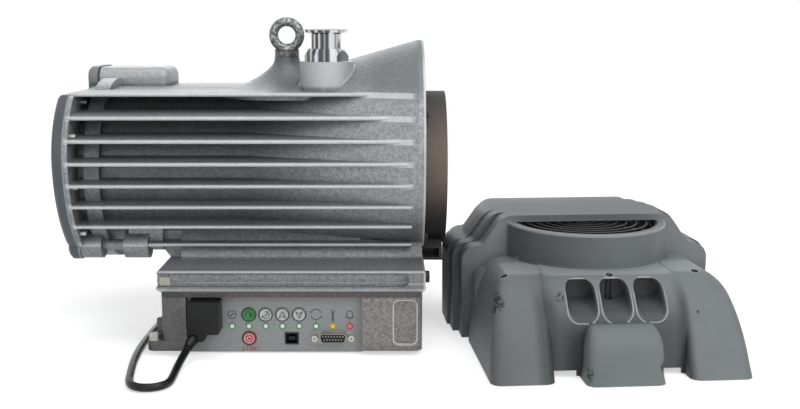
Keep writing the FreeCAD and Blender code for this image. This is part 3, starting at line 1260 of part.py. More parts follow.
def cowl_vents(grow):
    """Three blind vent pockets in the front of the drum, their floors rising inwards."""
    pockets = []
    half = COWL_VENT_W / 2.0 + grow
    round_r = COWL_VENT_W * 0.38 + grow
    front = COWL_DRUM_V - 6.0
    rear = COWL_DRUM_V + COWL_VENT_DEEP + grow
    for k in (-1, 0, 1):
        u = k * COWL_VENT_PITCH
        near = [V(u - half, front, COWL_VENT_Z0 - grow), V(u + half, front, COWL_VENT_Z0 - grow),
                V(u + half, front, COWL_VENT_Z1 + grow), V(u - half, front, COWL_VENT_Z1 + grow)]
        inwards = V(0, rear - front, 0)
        lift = V(0, rear - front, COWL_VENT_RISE)
        far = [near[0] + lift, near[1] + lift, near[2] + inwards, near[3] + inwards]
        pockets.append(Part.makeLoft([rounded_wire(near, [round_r] * 4),
                                      rounded_wire(far, [round_r * 0.7] * 4)], True, True))
    return pockets


def fan_cowl():
    """Moulded cowl standing on its open side: slatted body, fan collar, vented skirt and legs."""
    wall = COWL_WALL
    rise = COWL_MOUTH_H - 40.0
    outer = join([cowl_slats(0.0, 0.0), cowl_skirt(0.0, 0.0),
                  Part.makeCylinder(COWL_COLLAR_R, rise, V(0, 0, 40.0), V(0, 0, 1))])
    inner = join([cowl_slats(wall, -1.0), cowl_skirt(wall, -1.0),
                  Part.makeCylinder(COWL_COLLAR_R - wall, rise + 10.0 - wall, V(0, 0, 30.0), V(0, 0, 1))])
    mouth = cyl_z(COWL_MOUTH_R, COWL_MOUTH_H - 20.0, COWL_MOUTH_H + GAP, 0, 0)
    back_v = COWL_WING_V + (COWL_BACK_V - COWL_WING_V) / COWL_SLATS
    over = cyl_z(COWL_MOUTH_R, COWL_MOUTH_H, COWL_H + 1.0, 0, 0)
    over = over.cut(box(-COWL_HALF_W, COWL_HALF_W, back_v, COWL_BACK_V, COWL_MOUTH_H - 1.0, COWL_H + 2.0))
    shell = outer.cut(inner).cut(mouth).cut(over)
    shell = shell.fuse(join(cowl_vents(wall)).common(outer))
    cuts = cowl_vents(0.0)
    for u, v in cowl_hole_places():
        cuts.append(Part.makeCylinder(SCREW_R + 0.9, 60.0, V(u, v, COWL_SHOULDER_W - 40.0), V(0, 0, 1)))
    for side in (-1, 1):
        u = side * (COWL_BULGE_U + 12.0)
        cuts.append(box(u - 10, u + 10, COWL_BULGE_V - 5, COWL_FOOT_V + 30, -1, 5.0))
    return placed_cowl(shell.cut(join(cuts)).removeSplitter())


def cowl_hole_places():
    """Screw holes of the cowl: one at each knee and one between the middle vents."""
    return [(-92.0, COWL_FOOT_V + 66.0), (80.0, COWL_FOOT_V + 66.0), (0.0, COWL_FOOT_V + 58.0)]


def placed_cowl(shape):
    """Turn and move a piece of the cowl to where it lies beside the pump."""
    shape.rotate(V(0, 0, 0), V(0, 0, 1), COWL_TURN)
    shape.translate(V(COWL_X, COWL_Y, 0))
    return shape


def cowl_grille():
    """Finger guard: concentric wire rings on four spokes, set in the mouth of the cowl."""
    z = COWL_MOUTH_H - COWL_WALL / 2.0
    last_r = COWL_MOUTH_R - GUARD_WIRE_R - FIT
    step = (last_r - GUARD_FIRST_R) / (GUARD_RINGS - 1)
    parts = []
    for k in range(GUARD_RINGS):
        mid = GUARD_FIRST_R + k * step
        disc = cyl_z(mid + GUARD_WIRE_R, z - GUARD_WIRE_R, z + GUARD_WIRE_R, 0, 0)
        parts.append(disc.cut(cyl_z(mid - GUARD_WIRE_R, z - 2 * GUARD_WIRE_R, z + 2 * GUARD_WIRE_R, 0, 0)))
    spoke = box(GUARD_FIRST_R, last_r, -GUARD_WIRE_R, GUARD_WIRE_R, z - 2 * GUARD_WIRE_R, z)
    parts += spun(spoke, 4, V(0, 0, 1), V(0, 0, 0), 45.0)
    return placed_cowl(join(parts))


def mains_inlet():
    """Appliance inlet behind the plug: flange, cup and three blades."""
    x = INLET_SOCKET_X
    z = INLET_SOCKET_Z
    flange = box(x - SOCKET_HALF_W, x + SOCKET_HALF_W, PANEL_Y - 1.0, PANEL_Y + 14.0,
                 z - SOCKET_HALF_H, z + SOCKET_HALF_H)
    cup = box(x - 12.0, x + 12.0, PANEL_Y - 2.0, PANEL_Y + 12.0, z - 8.2, z + 8.2)
    blades = [box(x + k * BLADE_PITCH - 1.0, x + k * BLADE_PITCH + 1.0, PANEL_Y - 0.5, PANEL_Y + 12.5,
                  z - 2.0, z + 2.0) for k in (-1, 0, 1)]
    return join([flange.cut(cup)] + blades)


def mains_connector():
    """Angled appliance plug: square body, nose in the inlet, and a corner outlet for the lead."""
    x0 = INLET_SOCKET_X - 14.0
    x1 = INLET_SOCKET_X + 14.0
    z0 = INLET_SOCKET_Z - 14.0
    z1 = INLET_SOCKET_Z + 15.5
    back_y = PANEL_Y - 1.0 - GAP
    body = rounded_block_y(x0, x1, CONNECTOR_FRONT_Y, back_y, z0, z1, 1.8)
    nose = box(INLET_SOCKET_X - 11.6, INLET_SOCKET_X + 11.6, back_y - 1, PANEL_Y + 10.0,
               INLET_SOCKET_Z - 7.8, INLET_SOCKET_Z + 7.8)
    slots = []
    for k in (-1, 0, 1):
        x = INLET_SOCKET_X + k * BLADE_PITCH
        slots.append(box(x - 1.3, x + 1.3, PANEL_Y - 1.0, PANEL_Y + 11.0,
                         INLET_SOCKET_Z - 2.3, INLET_SOCKET_Z + 2.3))
    heel = rounded_block_y(x0 - 1.0, x0 + 16.0, CONNECTOR_FRONT_Y + 1.5, back_y - 1.5,
                           z0 - 7.0, z0 + 12.0, 5.0)
    return join([body, nose.cut(join(slots)), heel]).cut(relief_cone())


def relief_cone():
    """Full taper of the sleeve round the lead, from inside the plug's corner outwards."""
    direction = (LEAD_ROUTE[1] - LEAD_ROUTE[0]).normalize()
    root = LEAD_ROUTE[0] - direction * (RELIEF_LEN - RELIEF_TIP)
    return Part.makeCone(RELIEF_R, LEAD_R + RELIEF_WALL, RELIEF_LEN, root, direction)


def lead_relief():
    """Tapered sleeve that guides the lead out of the plug's lower corner."""
    direction = (LEAD_ROUTE[1] - LEAD_ROUTE[0]).normalize()
    bore = Part.makeCylinder(LEAD_R + FIT, RELIEF_TIP + 1.0, LEAD_ROUTE[0], direction)
    return relief_cone().cut(bore)


def corner_radius(before, here, after):
    """Arc radius at one corner of a cord: 0.45 of its shorter run over the tangent of half the turn."""
    turn = (here - before).getAngle(after - here)
    shorter = min((here - before).Length, (after - here).Length)
    return 0.45 * shorter / math.tan(turn / 2.0)


def cord_tube(route, radius, name):
    """Round tube along straight runs joined by tangent arcs; prints its bends and its volume check."""
    edges = []
    last = route[0]
    radii = []
    for i in range(1, len(route) - 1):
        before = (route[i - 1] - route[i]).normalize()
        after = (route[i + 1] - route[i]).normalize()
        bend = corner_radius(route[i - 1], route[i], route[i + 1])
        half = before.getAngle(after) / 2.0
        reach = bend / math.tan(half)
        start = route[i] + before * reach
        end = route[i] + after * reach
        middle = route[i] + (before + after).normalize() * (bend / math.sin(half) - bend)
        edges.append(Part.LineSegment(last, start).toShape())
        edges.append(Part.Arc(start, middle, end).toShape())
        radii.append(round(bend, 1))
        last = end
    edges.append(Part.LineSegment(last, route[-1]).toShape())
    path = Part.Wire(edges)
    direction = (route[1] - route[0]).normalize()
    section = Part.Wire([Part.makeCircle(radius, route[0], direction)])
    tube = path.makePipeShell([section], True, False)
    share = tube.Volume / (math.pi * radius * radius * path.Length)
    print(name, "radii", radii, "length", round(path.Length, 1), "volume share", round(share, 4))
    return tube


def lead_coil():
    """Outer shape of the spare lead, wound in a flat round coil."""
    coil = Part.makeCylinder(COIL_R + LEAD_R * 2, COIL_H, COIL_CENTRE, V(0, 0, 1))
    return coil.cut(Part.makeCylinder(COIL_R - LEAD_R * 2, COIL_H + 2, COIL_CENTRE - V(0, 0, 1), V(0, 0, 1)))


def coil_tie():
    """Strap that holds the turns of the coil together."""
    mid = COIL_CENTRE + V(0, COIL_R, COIL_H / 2.0)
    outer = box(-5, 5, -LEAD_R * 2 - 1.8, LEAD_R * 2 + 1.8, -COIL_H / 2, COIL_H / 2 + 1.8)
    inner = box(-6, 6, -LEAD_R * 2 - 0.6, LEAD_R * 2 + 0.6, -COIL_H / 2 - 1, COIL_H / 2 + 0.3)
    strap = outer.cut(inner)
    strap.translate(mid)
    return strap


def mains_plug():
    """Round two-pin wall plug with a waisted grip."""
    axis = (TAIL_ROUTE[-1] - TAIL_ROUTE[-2]).normalize()
    outline = [(0.0, 0.0), (5.5, 0.0), (6.5, 12.0), (11.0, 18.0), (17.0, 24.0), (PLUG_R, 28.0),
               (PLUG_R, PLUG_LEN), (0.0, PLUG_LEN)]
    edges = []
    for i in range(len(outline)):
        r0, a0 = outline[i]
        r1, a1 = outline[(i + 1) % len(outline)]
        edges.append(Part.LineSegment(V(r0, 0, a0), V(r1, 0, a1)).toShape())
    body = Part.Face(Part.Wire(edges)).revolve(V(0, 0, 0), V(0, 0, 1), 360)
    body = body.common(box(-PLUG_HALF_H, PLUG_HALF_H, -20, 20, -1, 50))
    across = axis.cross(V(0, 0, 1)).normalize()
    turn = FreeCAD.Rotation(across.cross(axis), across, axis, "ZXY")
    body.Placement = FreeCAD.Placement(TAIL_ROUTE[-1], turn)
    return body


def plug_pins():
    """Two round pins of the wall plug."""
    axis = (TAIL_ROUTE[-1] - TAIL_ROUTE[-2]).normalize()
    across = axis.cross(V(0, 0, 1)).normalize()
    face = TAIL_ROUTE[-1] + axis * PLUG_LEN
    return group([Part.makeCylinder(PLUG_PIN_R, PLUG_PIN_LEN, face + across * (s * PLUG_PIN_HALF), axis)
                  for s in (-1, 1)])


def main():
    save("pump_casing", casing())
    save("end_cover", end_cover())
    save("end_cover_screws", end_cover_screws())
    rear = roller_bearing(REAR_BEARING_X, REAR_BEARING_R - FIT, REAR_SEAT_R, REAR_BEARING_T)
    save("rear_bearing", rear)
    front = roller_bearing(FRONT_BEARING_X, FRONT_BEARING_R - FIT, FRONT_SEAT_R, FRONT_BEARING_T)
    save("front_bearing", front)
    save("stator_core", stator_core())
    save("stator_windings", stator_windings())
    save("rotor", rotor())
    save("crankshaft", crankshaft())
    save("counterweight", counterweight())
    save("bearing_carrier", bearing_carrier())
    save("carrier_screws", carrier_screws())
    save("bearing_retainer", bearing_retainer())
    save("bellows", bellows())
    save("fixed_scroll", fixed_scroll())
    save("orbiting_scroll", orbiting_scroll())
    save("orbit_bearing", orbit_bearing())
    save("scroll_screws", scroll_screws())
    save("fan_ring", fan_ring())
    save("fan_ring_screws", fan_ring_screws())
    save("fan_impeller", fan_impeller())
    save("shroud_screw", shroud_fastener())
    save("lifting_eye", lifting_eye())
    save("inlet_port", inlet_port())
    save("inlet_strainer", inlet_strainer())
    save("exhaust_port", exhaust_port())
    save("base_housing", base_housing())
    save("pedestal_bolts", pedestal_bolts())
    save("foot_lug_bolts", foot_lug_bolts())
    save("base_plate", base_plate())
    save("rubber_feet", rubber_feet())
    save("foot_screws", foot_screws())
    save("control_panel", control_panel())
    for name, (x, z) in button_places().items():
        save(name, button(x, z))
    save("button_switches", button_switches())
    save("green_lamps", lamps([0, 1, 2, 3, 4, 5]))
    save("yellow_lamp", lamps([6]))
    save("red_lamp", lamps([7]))
    save("control_board", control_board())
    save("board_spacers", board_spacers())
    save("usb_socket", usb_socket())
    save("remote_shell", remote_shell())
    save("remote_insert", remote_insert())
    save("remote_jackscrews", remote_jackscrews())
    save("mains_inlet", mains_inlet())
    save("mains_connector", mains_connector())
    save("lead_relief", lead_relief())
    save("mains_lead", cord_tube(LEAD_ROUTE, LEAD_R, "mains_lead"))
    save("mains_lead_coil", lead_coil())
    save("mains_lead_tail", cord_tube(TAIL_ROUTE, LEAD_R, "mains_lead_tail"))
    save("coil_tie", coil_tie())
    save("mains_plug", mains_plug())
    save("plug_pins", plug_pins())
    save("fan_cowl", fan_cowl())
    save("cowl_grille", cowl_grille())


if __name__ == "__main__":
    main()
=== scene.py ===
# %% [markdown]
# # A dry scroll vacuum pump with its cowl off
# The real object is a finned aluminium casting on a cast base, with a panel of buttons and sockets,
# a polished inlet, a steel lifting eye, a dark shroud ring and a grey moulded cowl that stands beside it.
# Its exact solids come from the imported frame. This lesson gives them finishes, and adds the pieces
# that read better as surfaces: the cord, the printed marks, the buttons' caps and small contacts.

# %% Load the frame and note its box
import json
import math
import bpy
import numpy as np
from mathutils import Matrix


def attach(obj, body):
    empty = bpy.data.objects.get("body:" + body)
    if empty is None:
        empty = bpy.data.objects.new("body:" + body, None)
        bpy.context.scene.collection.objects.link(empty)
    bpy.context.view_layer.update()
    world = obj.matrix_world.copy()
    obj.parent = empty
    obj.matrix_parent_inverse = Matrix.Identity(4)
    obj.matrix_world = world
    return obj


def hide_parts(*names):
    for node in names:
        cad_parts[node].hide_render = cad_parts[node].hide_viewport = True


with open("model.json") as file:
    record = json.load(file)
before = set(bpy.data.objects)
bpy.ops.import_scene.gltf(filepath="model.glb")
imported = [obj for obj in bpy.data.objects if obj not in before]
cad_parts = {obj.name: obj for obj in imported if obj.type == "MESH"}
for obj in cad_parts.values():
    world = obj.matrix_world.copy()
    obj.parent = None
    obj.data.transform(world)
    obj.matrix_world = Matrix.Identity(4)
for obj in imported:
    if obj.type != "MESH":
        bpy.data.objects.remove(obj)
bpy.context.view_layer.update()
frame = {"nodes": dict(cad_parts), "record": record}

# %% [markdown]
# ## A small language for finishes
# Every finish here is worked out from the place on the object, in metres, so it needs no pictures.
# Typing Math nodes one by one hides the idea, so a Signal wraps one number in a shader and takes part
# in ordinary sums.

# %% Signals
class Signal:
    """One number of a shader; sums, products and powers of signals add Math nodes."""

    def __init__(self, finish, socket):
        self.finish, self.socket = finish, socket

    def math(self, operation, *others):
        """One Math node that takes this signal first and the others after it."""
        inputs = dict(enumerate((self,) + others))
        node = self.finish.node("Math", {"operation": operation}, inputs)
        return Signal(self.finish, node.outputs[0])

    def __add__(self, other): return self.math("ADD", other)
    def __radd__(self, other): return self.math("ADD", other)
    def __sub__(self, other): return self.math("SUBTRACT", other)
    def __rsub__(self, other): return (self * -1.0) + other
    def __mul__(self, other): return self.math("MULTIPLY", other)
    def __truediv__(self, other): return self.math("DIVIDE", other)
    def __pow__(self, other): return self.math("POWER", other)
    def __abs__(self): return self.math("ABSOLUTE")
    def at_least(self, other): return self.math("MAXIMUM", other)
    def at_most(self, other): return self.math("MINIMUM", other)

    def step(self, low, high):
        """Smooth rise from 0 at low to 1 at high, or a fall where low is the larger."""
        ends = {"From Min": min(low, high), "From Max": max(low, high),
                "To Min": 0.0 if low < high else 1.0, "To Max": 1.0 if low < high else 0.0}
        node = self.finish.node("MapRange", {"interpolation_type": "SMOOTHSTEP"}, {"Value": self, **ends})
        return Signal(self.finish, node.outputs["Result"])


print("signals ready")

# %% [markdown]
# ## One material, and any node by its type
# A Finish holds one material. Its node method adds a node, sets what it needs and links its inputs, so
# the rest of the lesson never handles sockets one by one. Places are Object coordinates: the pieces stay
# at the origin, so these are the same metres for the CAD solids and for the new pieces.

# %% Finishes
class Finish:
    """One material: its node tree, a method that adds any node, and its main shader."""

    def __init__(self, name, **constants):
        self.material = bpy.data.materials.new(name)
        self.material.use_nodes = True
        self.tree = self.material.node_tree
        self.tree.nodes.clear()
        self.shader = self.node("BsdfPrincipled", {}, {})
        self.output = self.node("OutputMaterial", {}, {0: self.shader.outputs[0]})
        for key, value in constants.items():
            self.set(key.replace("_", " "), value)

    def set(self, socket, value):
        """Give a socket of the main shader a value or a link."""
        self.plug(self.shader.inputs[socket], value)

    def plug(self, socket, value):
        """Link a signal or another socket, or set a plain value; a colour gets its fourth number."""
        if isinstance(value, Signal):
            value = value.socket
        if isinstance(value, bpy.types.NodeSocket):
            self.tree.links.new(value, socket)
        elif isinstance(value, tuple) and len(value) == 3 and socket.type == "RGBA":
            socket.default_value = (*value, 1.0)
        else:
            socket.default_value = value

    def node(self, kind, settings, inputs):
        """Any node by its type: first its settings, then its inputs as values or links."""
        node = self.tree.nodes.new("ShaderNode" + kind)
        for key, value in settings.items():
            setattr(node, key, value)
        for key, value in inputs.items():
            self.plug(node.inputs[key], value)
        return node

    def place(self):
        """The x, y and z of the point, in metres, as three signals."""
        parts = self.node("SeparateXYZ", {}, {0: self.node("TexCoord", {}, {}).outputs["Object"]})
        return [Signal(self, parts.outputs[i]) for i in range(3)]

    def noise(self, scale, detail=3.0, rough=0.55, stretch=(1.0, 1.0, 1.0)):
        """Cloudy signal round 0.5; a larger stretch gives finer grain along that axis."""
        place = self.node("TexCoord", {}, {}).outputs["Object"]
        where = self.node("Mapping", {}, {0: place, "Scale": stretch})
        node = self.node("TexNoise", {}, {"Vector": where.outputs[0], "Scale": scale, "Detail": detail,
                                          "Roughness": rough})
        return Signal(self, node.outputs["Fac"])

    def mix(self, mask, dark, light):
        """Colour that runs from dark to light with the mask; 6, 7 and 2 are the node's colour sockets."""
        return self.node("Mix", {"data_type": "RGBA"}, {0: mask, 6: dark, 7: light}).outputs[2]

    def bump(self, height, strength, distance):
        """Let a height tilt the light on the surface; distance is its full depth in metres."""
        node = self.node("Bump", {}, {"Height": height, "Strength": strength, "Distance": distance})
        self.set("Normal", node.outputs[0])


print("finishes ready")

# %% [markdown]
# ## Tones and worn colour
# Tones are written as screen colours, which are easy to compare with a picture, and turned into the
# linear values that light is summed in. No handled surface has one flat colour, so wear lets it drift.

# %% Tones and wear
def tone(code):
    """Linear colour of a six-digit screen colour."""
    parts = [int(code[i:i + 2], 16) / 255.0 for i in (0, 2, 4)]
    return tuple(p / 12.92 if p <= 0.04045 else ((p + 0.055) / 1.055) ** 2.4 for p in parts)


def wear(finish, colour, spread, scale):
    """Colour with a slow cloudy change in its lightness, the way handled surfaces look."""
    darker = tuple(c * (1.0 - spread) for c in colour)
    lighter = tuple(min(1.0, c * (1.0 + spread)) for c in colour)
    return finish.mix(finish.noise(scale).step(0.3, 0.7), darker, lighter)


print("middle grey is", round(tone("808080")[0], 3))

# %% [markdown]
# ## Zones on a surface
# A casting is one body with many skins: rubbed, shaded, machined, dusty. Painting them would need a
# picture. Here a zone is a product of steps along the axes, so the pairs of numbers in the steps are
# places on the pump, in metres, between which the zone comes in or goes out.

# %% Bands, distances, coats and cast grain
def band(signal, low, high, soft):
    """1 between two values and 0 outside them, with soft edges."""
    return signal.step(low - soft, low + soft) * signal.step(high + soft, high - soft)


def separation(place, point):
    """Distance between the shaded point and a fixed one, each axis squared, summed and rooted."""
    squares = [(signal - value) * (signal - value) for signal, value in zip(place, point)]
    return sum(squares[1:], squares[0]) ** 0.5


def layered(finish, skin, *coats):
    """A skin with tones laid over it one after another, each through its own mask."""
    for mask, code in coats:
        skin = finish.mix(mask, skin, tone(code))
    return skin


def cast_skin(finish, grain, dark, light, strength):
    """Two sizes of grain mixed into the colour, and the same grain as a bump."""
    fine = finish.noise(grain, 5.0, 0.75)
    coarse = finish.noise(grain * 0.3, 3.0)
    sparkle = (fine * 0.75 + coarse * 0.25).step(0.38, 0.62)
    finish.bump(fine * 0.7 + coarse * 0.3, strength, 0.0005)
    return finish.mix(sparkle, dark, light), sparkle


finishes = {}
print("zone helpers ready")

# %% [markdown]
# ## Sand-cast aluminium
# The casting was poured in sand: an even grey skin with fine grain. Its fin tips get a painted highlight
# with some wear, and the valleys between the fins get painted shade with some dust. The tips lie on two half
# ellipses round the shaft, so one sum of squares tells valley from tip at every point.

# %% Fins, tips and valleys
SHAFT_Z, TIPS_HALF_W, TIPS_UP, TIPS_DOWN = 0.171, 0.112, 0.088, 0.112
LOW_FIN_Z, FIN_HALF_PITCH = 0.092, 0.010
casing_finish = Finish("casing_cast", Metallic=0.45)
x, y, z = casing_finish.place()
rise = (z - SHAFT_Z).at_least(0.0) / TIPS_UP
drop = (z - SHAFT_Z).at_most(0.0) / TIPS_DOWN
reach = y * y / (TIPS_HALF_W * TIPS_HALF_W) + rise * rise + drop * drop
finned = z.step(0.080, 0.088) * z.step(0.2375, 0.2340) * x.step(0.112, 0.106)
# Painted shade with some dust: the valleys between the fins are darker
valley_shade_and_dust = reach.step(0.80, 0.50) * finned * x.step(0.095, 0.0)
fin_gap = (z - LOW_FIN_Z).math("PINGPONG", FIN_HALF_PITCH)
# Painted highlight with some wear: a bright line along every fin tip
tip = reach.step(0.905, 0.985) * finned * fin_gap.step(0.0030, 0.0020)
print("fins start at z", LOW_FIN_Z, "and repeat every", 2 * FIN_HALF_PITCH)

# %% Bosses, flange and ledge of the casting
INLET_AT, BOSS_FOOT = (0.028, -0.040), (0.236, 0.240)
machined = x.step(0.1178, 0.1184) * x.step(0.1212, 0.1204)
joint = x.step(-0.2026, -0.2032) * (1.0 - finned)
over_foot = z.step(*BOSS_FOOT)
boss = separation((x, y), INLET_AT).step(0.0275, 0.0262) * over_foot
hump = over_foot * x.step(-0.095, -0.105)
# Painted shade under the lowest fin, above the ledge
under_fin_shade = z.step(0.118, 0.086) * z.step(0.0776, 0.0790)
crown = z.step(0.222, 0.246) * x.step(-0.075, -0.035)
eye_boss = band(x, -0.046, 0.004, 0.006) * z.step(0.230, 0.240)
eye_boss = eye_boss * (0.25 + x.step(-0.035, 0.0) * 0.4)
flare = x.step(0.055, 0.080) * z.step(0.222, 0.240) * 0.35
flare = flare + x.step(0.088, 0.108) * z.step(0.132, 0.104) * 0.4
ledge = y.step(-0.108, -0.112) * z.step(0.0780, 0.0776)
# Painted highlights along the ledge's edges and along the edge of its groove
ridge_highlight = band(z, 0.0752, 0.0775, 0.0004) + band(z, 0.0580, 0.0604, 0.0004)
ridge_highlight = ridge_highlight * y.step(-0.116, -0.119)
ledge_line_highlight = band(z, 0.0646, 0.0656, 0.0003) * ledge
# Painted shade in the groove along the ledge
groove_shade = band(z, 0.0724, 0.0742, 0.0004) * x.step(0.1055, 0.1035)
print("zones use", len(casing_finish.tree.nodes), "nodes")

# %% Colour and roughness of the casting
skin, sparkle = cast_skin(casing_finish, 900.0, tone("7a7e82"), tone("b0b4b7"), 0.4)
cloud = casing_finish.noise(22.0, 3.0).step(0.3, 0.7)
# Painted shade on the crown, on the right of the eye boss and on the flare
shaded = (crown * 0.42 + eye_boss + flare).at_most(0.85)
# Painted highlights on the fin tips and the ledge's edges, with the machined flange edge, which is really
# brighter
bright = tip * 0.5 + machined * 0.4 + ridge_highlight * 0.4 + ledge_line_highlight * 0.35
# Coats: random cloud; painted shade with some dust in the valleys; painted shade in the groove and under the
# lowest fin, and the ledge's front a little darker; painted shade on crown, eye boss and flare; painted
# highlight on the inlet boss and the hump; painted highlights and the machined edge; the dark joint
skin = layered(casing_finish, skin,
               (cloud * 0.2, "868380"), (valley_shade_and_dust * 0.45, "4c4946"), (groove_shade * ledge * 0.6, "4b4845"),
               (under_fin_shade * 0.25 + ledge * 0.16, "4a4745"), (shaded, "5f6468"),
               (boss * 0.6 + hump * 0.25, "dcdddd"), (bright.at_most(1.0), "e4e6e6"),
               (joint * 0.8, "1c1d1f"))
casing_finish.set("Base Color", skin)
casing_finish.set("Roughness", 0.56 - sparkle * 0.12 - machined * 0.15)
finishes["cast_aluminium"] = casing_finish
print("casing finish has", len(casing_finish.tree.nodes), "nodes")

# %% [markdown]
# ## The painted base
# The base is cast too but painted thinly, so its grain is softer and warmer. The rim of its side pocket
# gets a painted highlight, and its left column and the strip under the ledge get painted shade. A signed
# distance to a rounded rectangle finds that rim, and later the cowl's vents.

# %% Distance to a rounded rectangle
def outline_distance(across, up, half_w, half_h, corner):
    """Signed distance to a rectangle with round corners: negative inside, zero on its outline."""
    dx = abs(across) - (half_w - corner)
    dz = abs(up) - (half_h - corner)
    outside_x, outside_z = dx.at_least(0.0), dz.at_least(0.0)
    outside = (outside_x * outside_x + outside_z * outside_z) ** 0.5
    return outside + dx.at_least(dz).at_most(0.0) - corner


print("outline helper ready")

# %% Base finish
POCKET_X, POCKET_Z, POCKET_HALF_W, POCKET_HALF_H, POCKET_CORNER = 0.1015, 0.0305, 0.0105, 0.0205, 0.005
base_finish = Finish("base_cast", Metallic=0.2)
skin, sparkle = cast_skin(base_finish, 820.0, tone("6b6763"), tone("a29e9a"), 0.5)
x, y, z = base_finish.place()
# Painted shade: the base's left column darker and more neutral
left_column_shade = x.step(-0.085, -0.105)
# Painted shade: the strip of the base under the ledge, above the panel
under_ledge_shade = z.step(0.0528, 0.0545) * x.step(0.118, 0.112)
pocket = outline_distance(x - POCKET_X, z - POCKET_Z, POCKET_HALF_W, POCKET_HALF_H, POCKET_CORNER)
# Painted highlight on the rim of the side pocket
pocket_rim_highlight = band(pocket, -0.0004, 0.0007, 0.0003) * y.step(-0.120, -0.1215)
near_floor = z.step(0.014, 0.003)
# Coats: painted shade on the left column and under the ledge, a painted highlight on the pocket's rim, and
# darker towards the floor
skin = layered(base_finish, skin,
               (left_column_shade * 0.7, "54565a"), (under_ledge_shade * 0.7, "2b2a2a"),
               (pocket_rim_highlight * 0.8, "e6e4e0"), (near_floor * 0.35, "4a4743"))
base_finish.set("Base Color", skin)
base_finish.set("Roughness", 0.64 - sparkle * 0.12)
finishes["base_casting"] = base_finish
print("base finish has", len(base_finish.tree.nodes), "nodes")

# %% [markdown]
# ## The motor cover
# A smooth blue-grey casting: the same skin with hardly any grain. Its joint catches the light, and the
# part of the terminal hump that it carries is paler, with a dark seam.

# %% Cover finish
cover_finish = Finish("cover_cast", Metallic=0.2)
skin, sparkle = cast_skin(cover_finish, 1100.0, tone("4a5158"), tone("585f66"), 0.08)
x, y, z = cover_finish.place()
cloud = cover_finish.noise(30.0, 3.0).step(0.35, 0.7)
hump = z.step(*BOSS_FOOT)
# Painted highlight along the joint's edge; the hump's part is paler casting, with a dark seam
skin = layered(cover_finish, skin,
               (cloud * 0.3, "4a525b"), (x.step(-0.2056, -0.2048) * 0.55, "c4c8ca"),
               (hump * 0.75, "8f9395"), (hump * x.step(-0.2054, -0.2048) * 0.8, "1c1d1f"))
cover_finish.set("Base Color", skin)
cover_finish.set("Roughness", 0.5 - sparkle * 0.06)
finishes["cover_casting"] = cover_finish
print("cover finish has", len(cover_finish.tree.nodes), "nodes")

# %% [markdown]
# ## Polished ports
# The inlet and the exhaust are turned and polished steel. A room mirrored in such a tube shows as
# bright and dark stripes along it, which depend only on the angle round its axis. Noise read on a circle
# of that angle gives them without a seam, and the flat faces get an even tone.

# %% Finish of the ports
EXHAUST_AT = (0.046, 0.196)
port_finish = Finish("port_polished", Metallic=1.0)
x, y, z = port_finish.place()
lines = port_finish.noise(260.0, 2.0, 0.5, (0.3, 0.3, 9.0))
at_motor_end = x.step(-0.15, -0.16)
on_top = 1.0 - at_motor_end
side = (x - INLET_AT[0]) * on_top + (y - EXHAUST_AT[0]) * at_motor_end
rise = (y - INLET_AT[1]) * on_top + (z - EXHAUST_AT[1]) * at_motor_end
radius = (side * side + rise * rise) ** 0.5 + 0.0001
turn = port_finish.node("CombineXYZ", {}, {0: side / radius, 1: rise / radius})
streaks = port_finish.node("TexNoise", {}, {"Vector": turn.outputs[0], "Scale": 2.8, "Detail": 3.0})
flat = z.step(0.2898, 0.2906) + x.step(-0.2418, -0.2426)
streak = Signal(port_finish, streaks.outputs["Fac"]).step(0.42, 0.58) * (1.0 - flat * 0.9) + flat * 0.6
port_finish.set("Base Color", port_finish.mix(streak, tone("4d5155"), tone("dadcde")))
port_finish.set("Roughness", 0.17 + (lines - 0.5) * 0.12)
port_finish.bump(lines, 0.06, 0.0001)
finishes["polished_steel"] = port_finish
print("port finish has", len(port_finish.tree.nodes), "nodes")

# %% [markdown]
# ## Turned metals
# Scrolls, shaft, screws, iron and copper differ in tone, in roughness and in the direction of their
# fine lines. A stretched noise draws those lines at almost no cost, so one table covers them all.

# %% Finishes from one table
def turned_metal(name, colour, roughness, stretch, metallic):
    """Metal with fine tool lines: noise drawn out along the tool's path."""
    finish = Finish(name, Metallic=metallic)
    lines = finish.noise(260.0, 2.0, 0.5, stretch)
    finish.set("Base Color", wear(finish, colour, 0.12, 60.0))
    finish.set("Roughness", roughness + (lines - 0.5) * 0.22)
    finish.bump(lines, 0.12, 0.0002)
    return finish


TURNED = {  # slot: material, tone, roughness, stretch of the lines, share of metal
    "machined_aluminium": ("scroll_machined", "c4c6c8", 0.34, (6.0, 1.0, 1.0), 1.0),
    "steel": ("shaft_ground", "a9abad", 0.3, (8.0, 1.0, 1.0), 1.0),
    "zinc_steel": ("screw_zinc", "b8b8b2", 0.38, (2.0, 2.0, 2.0), 1.0),
    "motor_iron": ("core_laminated", "4d4f51", 0.5, (14.0, 0.5, 0.5), 0.6),
    "copper": ("winding_copper", "b0683a", 0.4, (3.0, 8.0, 8.0), 0.8)}
for slot, (name, code, *rest) in TURNED.items():
    finishes[slot] = turned_metal(name, tone(code), *rest)
print("turned metals:", len(TURNED))

# %% [markdown]
# ## The forged eye and the shroud
# The lifting eye was forged, so scale mottles it, and its collar is darker at its top and bottom edges.
# The shroud ring is brushed dark metal: long fine lines round it, with a paler middle where the light
# of the room falls on it.

